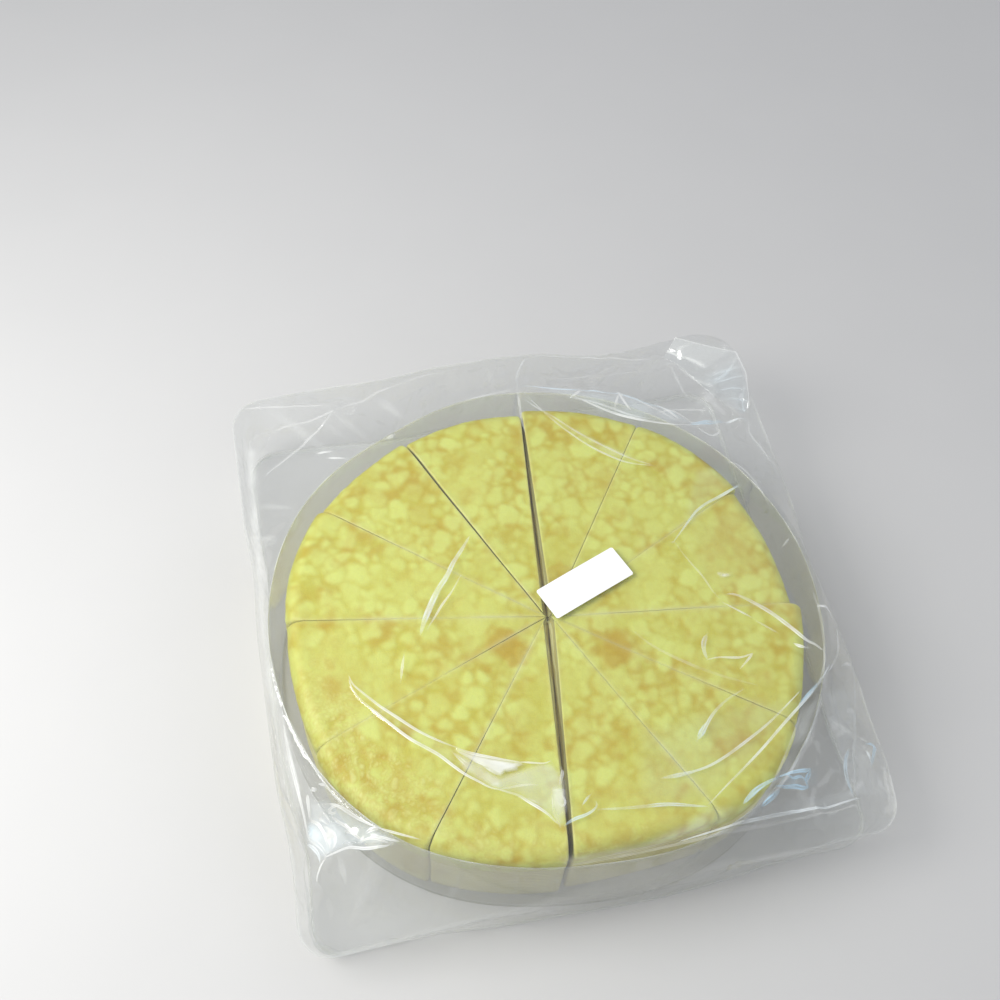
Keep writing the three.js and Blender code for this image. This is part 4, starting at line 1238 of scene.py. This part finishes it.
def film():
    """The bag: one closed skin of a creased top, side walls and a flat bottom."""
    ring_direction = np.arange(OUTLINE_POINTS) * 360 / OUTLINE_POINTS
    ring = polar(film_edge(ring_direction), ring_direction)
    ribbons = []
    for line in fold_ribbons():
        limit = (film_edge(direction_of(line)) - 0.8) / np.hypot(*line.T)
        ribbons.append(line * np.minimum(limit, 1)[:, None])
    grid = triangular_grid(FILM_SPACING, FILM_GRID_REACH)
    grid = grid[np.hypot(*grid.T) < film_edge(direction_of(grid)) - 0.9]
    grid = clear_of(grid, np.vstack(ribbons), FOLD_CLEARANCE)

    coordinates = [Vector(p) for p in np.vstack([ring, *ribbons, grid]).tolist()]
    edges = []
    first = len(ring)
    for line in ribbons:
        edges += [(first + i, first + i + 1) for i in range(len(line) - 1)]
        first += len(line)
    found = delaunay_2d_cdt(coordinates, edges, [list(range(len(ring)))], 1, 0.02)
    plan = np.array([(p.x, p.y) for p in found[0]])
    triangles = np.array([tuple(face) for face in found[2]])
    ring_index = {original: i for i, originals in enumerate(found[3]) for original in originals}
    a, b, c = (plan[triangles[:, k]] for k in range(3))
    area = (b[:, 0] - a[:, 0]) * (c[:, 1] - a[:, 1]) - (b[:, 1] - a[:, 1]) * (c[:, 0] - a[:, 0])
    triangles[area < 0] = triangles[area < 0][:, ::-1]
    faces = [tuple(face) for face in triangles.tolist()]

    height, milk_and_highlight, blue = film_at(plan)
    points = np.column_stack([plan, height]).tolist()
    milk_and_highlight, blue = milk_and_highlight.tolist(), blue.tolist()
    top_ring = [ring_index[i] for i in range(len(ring))]
    ring_height = height[top_ring]
    outline = np.hypot(*ring.T)
    foot = np.minimum(foot_radius(ring_direction), outline - 1)
    corner_room = np.minimum(1, (outline - rim_radius(ring_direction)) / 12)

    previous = top_ring
    for k in range(1, WALL_ROWS + 1):
        share = k / WALL_ROWS
        wrinkle = sample(film_ripple, ring + share * 40) * 0.8 + sample(film_swell, ring - share * 60)
        push = corner_room * math.sin(math.pi * share) * (1.1 * wrinkle - 1.0)
        spots = polar(outline + (foot - outline) * share + np.minimum(push, 0), ring_direction)
        z = ring_height + (FILM_FLOOR - ring_height) * share
        row = list(range(len(points), len(points) + OUTLINE_POINTS))
        points += np.column_stack([spots, z]).tolist()
        # The side walls get a faint whitening, with painted highlights on their wrinkles' crests and along
        # their foot.
        crest = np.exp(-(sample(film_ripple, ring + share * 40) / 0.08) ** 2)
        milk_and_highlight += (0.06 + 0.2 * crest * math.sin(math.pi * share) + 0.3 * float(k == WALL_ROWS)).tolist()
        blue += [0.0] * OUTLINE_POINTS
        for i in range(OUTLINE_POINTS):
            j = (i + 1) % OUTLINE_POINTS
            faces.append((previous[i], row[i], row[j], previous[j]))
        previous = row

    previous_at = np.linspace(0, 1, OUTLINE_POINTS + 1)
    for share, count in UNDERSIDE_RINGS:
        direction = np.arange(count) * 360 / count
        spots = polar(np.minimum(foot_radius(direction), film_edge(direction) - 1) * share, direction)
        row = list(range(len(points), len(points) + count))
        points += np.column_stack([spots, np.full(count, FILM_FLOOR)]).tolist()
        row_at = np.linspace(0, 1, count + 1)
        strip = stitch(row + row[:1], row_at, previous + previous[:1], previous_at)
        faces += [(p, r, q) for p, q, r in strip]
        previous, previous_at = row, row_at
    centre = len(points)
    points.append([0.0, 0.0, FILM_FLOOR])
    faces += [(centre, q, p) for p, q in zip(previous, previous[1:] + previous[:1])]
    milk_and_highlight += [0.0] * (len(points) - len(milk_and_highlight))
    blue += [0.0] * (len(points) - len(blue))

    placed = np.array(points) + [*CAKE_CENTRE, 0]
    made = add_mesh("film_bag", placed, faces, {"milk_and_highlight": milk_and_highlight, "blue": blue})
    made.data.set_sharp_from_angle(angle=math.radians(60))
    made.data.materials.append(film_material)
    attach(made, "root")
    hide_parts("bag")


film()


# ---------------------------------------------------------------- Seal flap

# The bag's sealed end stands up as a crumpled flap over its back right corner: its foot on the film and its
# free edge, each in mm from the cake's centre, and at what share of the way up its heat seal starts
FLAP_FOOT = [(90.0, 131.0, 51.5), (96.0, 125.0, 52.0), (101.0, 115.5, 52.0), (108.0, 103.0, 51.5),
             (119.0, 91.0, 50.5)]
FLAP_EDGE = [(96.8, 136.6, 59.4), (110.5, 129.3, 59.2), (125.0, 122.6, 58.9), (126.5, 110.0, 57.0),
             (123.5, 93.0, 52.5)]
FLAP_THICKNESS = 0.16
FLAP_ROWS = 46
FLAP_COLUMNS = 150
SEAL_FROM = 0.3


def seal_flap():
    """A thin crumpled sheet of film with a heat seal along its free edge."""
    along = np.linspace(0, 1, FLAP_COLUMNS)

    def along_line(line):
        at = np.linspace(0, 1, len(line))
        return np.column_stack([np.interp(along, at, np.array(line)[:, c]) for c in range(3)])

    foot, edge = along_line(FLAP_FOOT), along_line(FLAP_EDGE)
    sheets, milk_and_highlight, blue = [], [], []
    for side in (-0.5, 0.5):
        for k in range(FLAP_ROWS + 1):
            share = k / FLAP_ROWS
            spots = foot + (edge - foot) * share
            middle = math.sin(math.pi * share)
            gathers = np.abs(np.sin(9.5 * along + 2.2 * share + 1.1 * np.sin(4 * along + 3 * share)))
            bunched = np.abs(np.sin(31 * along - 5 * share)) * smoothstep(along, 0.45, 0.8)
            raised = smoothstep(along, 0, 0.2) * smoothstep(1 - along, 0, 0.15)
            spots[:, 2] += middle * (raised * (1.2 * gathers + 0.5 * bunched) - 0.9) + side * FLAP_THICKNESS
            spots[:, :2] += (0.3 * middle * np.sin(17 * along + 4 * share))[:, None]
            sheets.append(spots + [*CAKE_CENTRE, 0])
            sealed = smoothstep(share, SEAL_FROM - 0.03, SEAL_FROM) * (1 - smoothstep(along, 0.42, 0.5))
            # Heat seal and edge whitening, with painted highlights on the gathers' crests.
            crests = np.exp(-(gathers / 0.12) ** 2)
            crests = crests + np.exp(-(bunched / 0.2) ** 2) * smoothstep(along, 0.5, 0.6)
            whitening_and_highlight = 0.04 + 0.07 * sealed + 0.2 * crests * middle + 0.2 * float(k >= FLAP_ROWS - 1)
            seal_line = math.exp(-((share - SEAL_FROM - 0.04) / 0.04) ** 2)
            whitening_and_highlight = whitening_and_highlight + 0.3 * seal_line * smoothstep(0.5 - along, 0, 0.1)
            milk_and_highlight.append(np.clip(whitening_and_highlight, 0, 0.8))
            # Painted blue reflection on the bunched end.
            blue.append(0.3 * smoothstep(along, 0.5, 0.65) * middle)
    faces = sheet_faces(FLAP_COLUMNS, FLAP_ROWS + 1)
    attributes = {"milk_and_highlight": np.concatenate(milk_and_highlight), "blue": np.concatenate(blue)}
    made = add_mesh("film_seal", np.concatenate(sheets), faces, attributes)
    made.data.materials.append(film_material)
    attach(made, "root")


seal_flap()


# ---------------------------------------------------------------- Floor, light and camera

FLOOR_SIZE = 6.0
STUDIO_COLOUR = (0.93, 0.95, 1.0, 1)
STUDIO_STRENGTH = 0.64
# Each light's name, its place and size in metres, its power in watts, and its colour
LIGHTS = [
    ("key", (-0.5, 0.02, 0.54), (0.4, 0.4), 4.38, (1.0, 0.99, 0.96)),
    ("fill", (0.8, -0.3, 0.75), (0.6, 0.6), 0.9, (0.95, 0.97, 1.0)),
]


def make_stage():
    bpy.ops.mesh.primitive_plane_add(size=FLOOR_SIZE, location=(0, 0, 0))
    floor = bpy.context.object
    floor.name = "floor"
    floor.data.materials.append(make_floor())

    world = bpy.data.worlds.new("studio")
    world.use_nodes = True
    background = world.node_tree.nodes["Background"]
    background.inputs["Color"].default_value = STUDIO_COLOUR
    background.inputs["Strength"].default_value = STUDIO_STRENGTH
    bpy.context.scene.world = world

    for name, place, size, power, colour in LIGHTS:
        lamp = bpy.data.lights.new(name, "AREA")
        lamp.shape = "RECTANGLE"
        lamp.size, lamp.size_y = size
        lamp.energy = power
        lamp.color = colour
        made = bpy.data.objects.new(name, lamp)
        made.location = place
        made.rotation_euler = (-Vector(place)).to_track_quat("-Z", "Y").to_euler()
        bpy.context.scene.collection.objects.link(made)


def make_camera():
    lens = bpy.data.cameras.new("camera")
    lens.sensor_width = SENSOR_WIDTH
    lens.lens = FOCAL_PIXELS * SENSOR_WIDTH / PICTURE_PIXELS
    made = bpy.data.objects.new("camera", lens)
    turn = Matrix((CAMERA_RIGHT, CAMERA_UP, -CAMERA_AHEAD)).transposed()
    made.matrix_world = Matrix.Translation(CAMERA_PLACE) @ turn.to_4x4()
    bpy.context.scene.collection.objects.link(made)
    bpy.context.scene.camera = made


make_stage()
make_camera()
bpy.context.scene.view_settings.view_transform = "Standard"
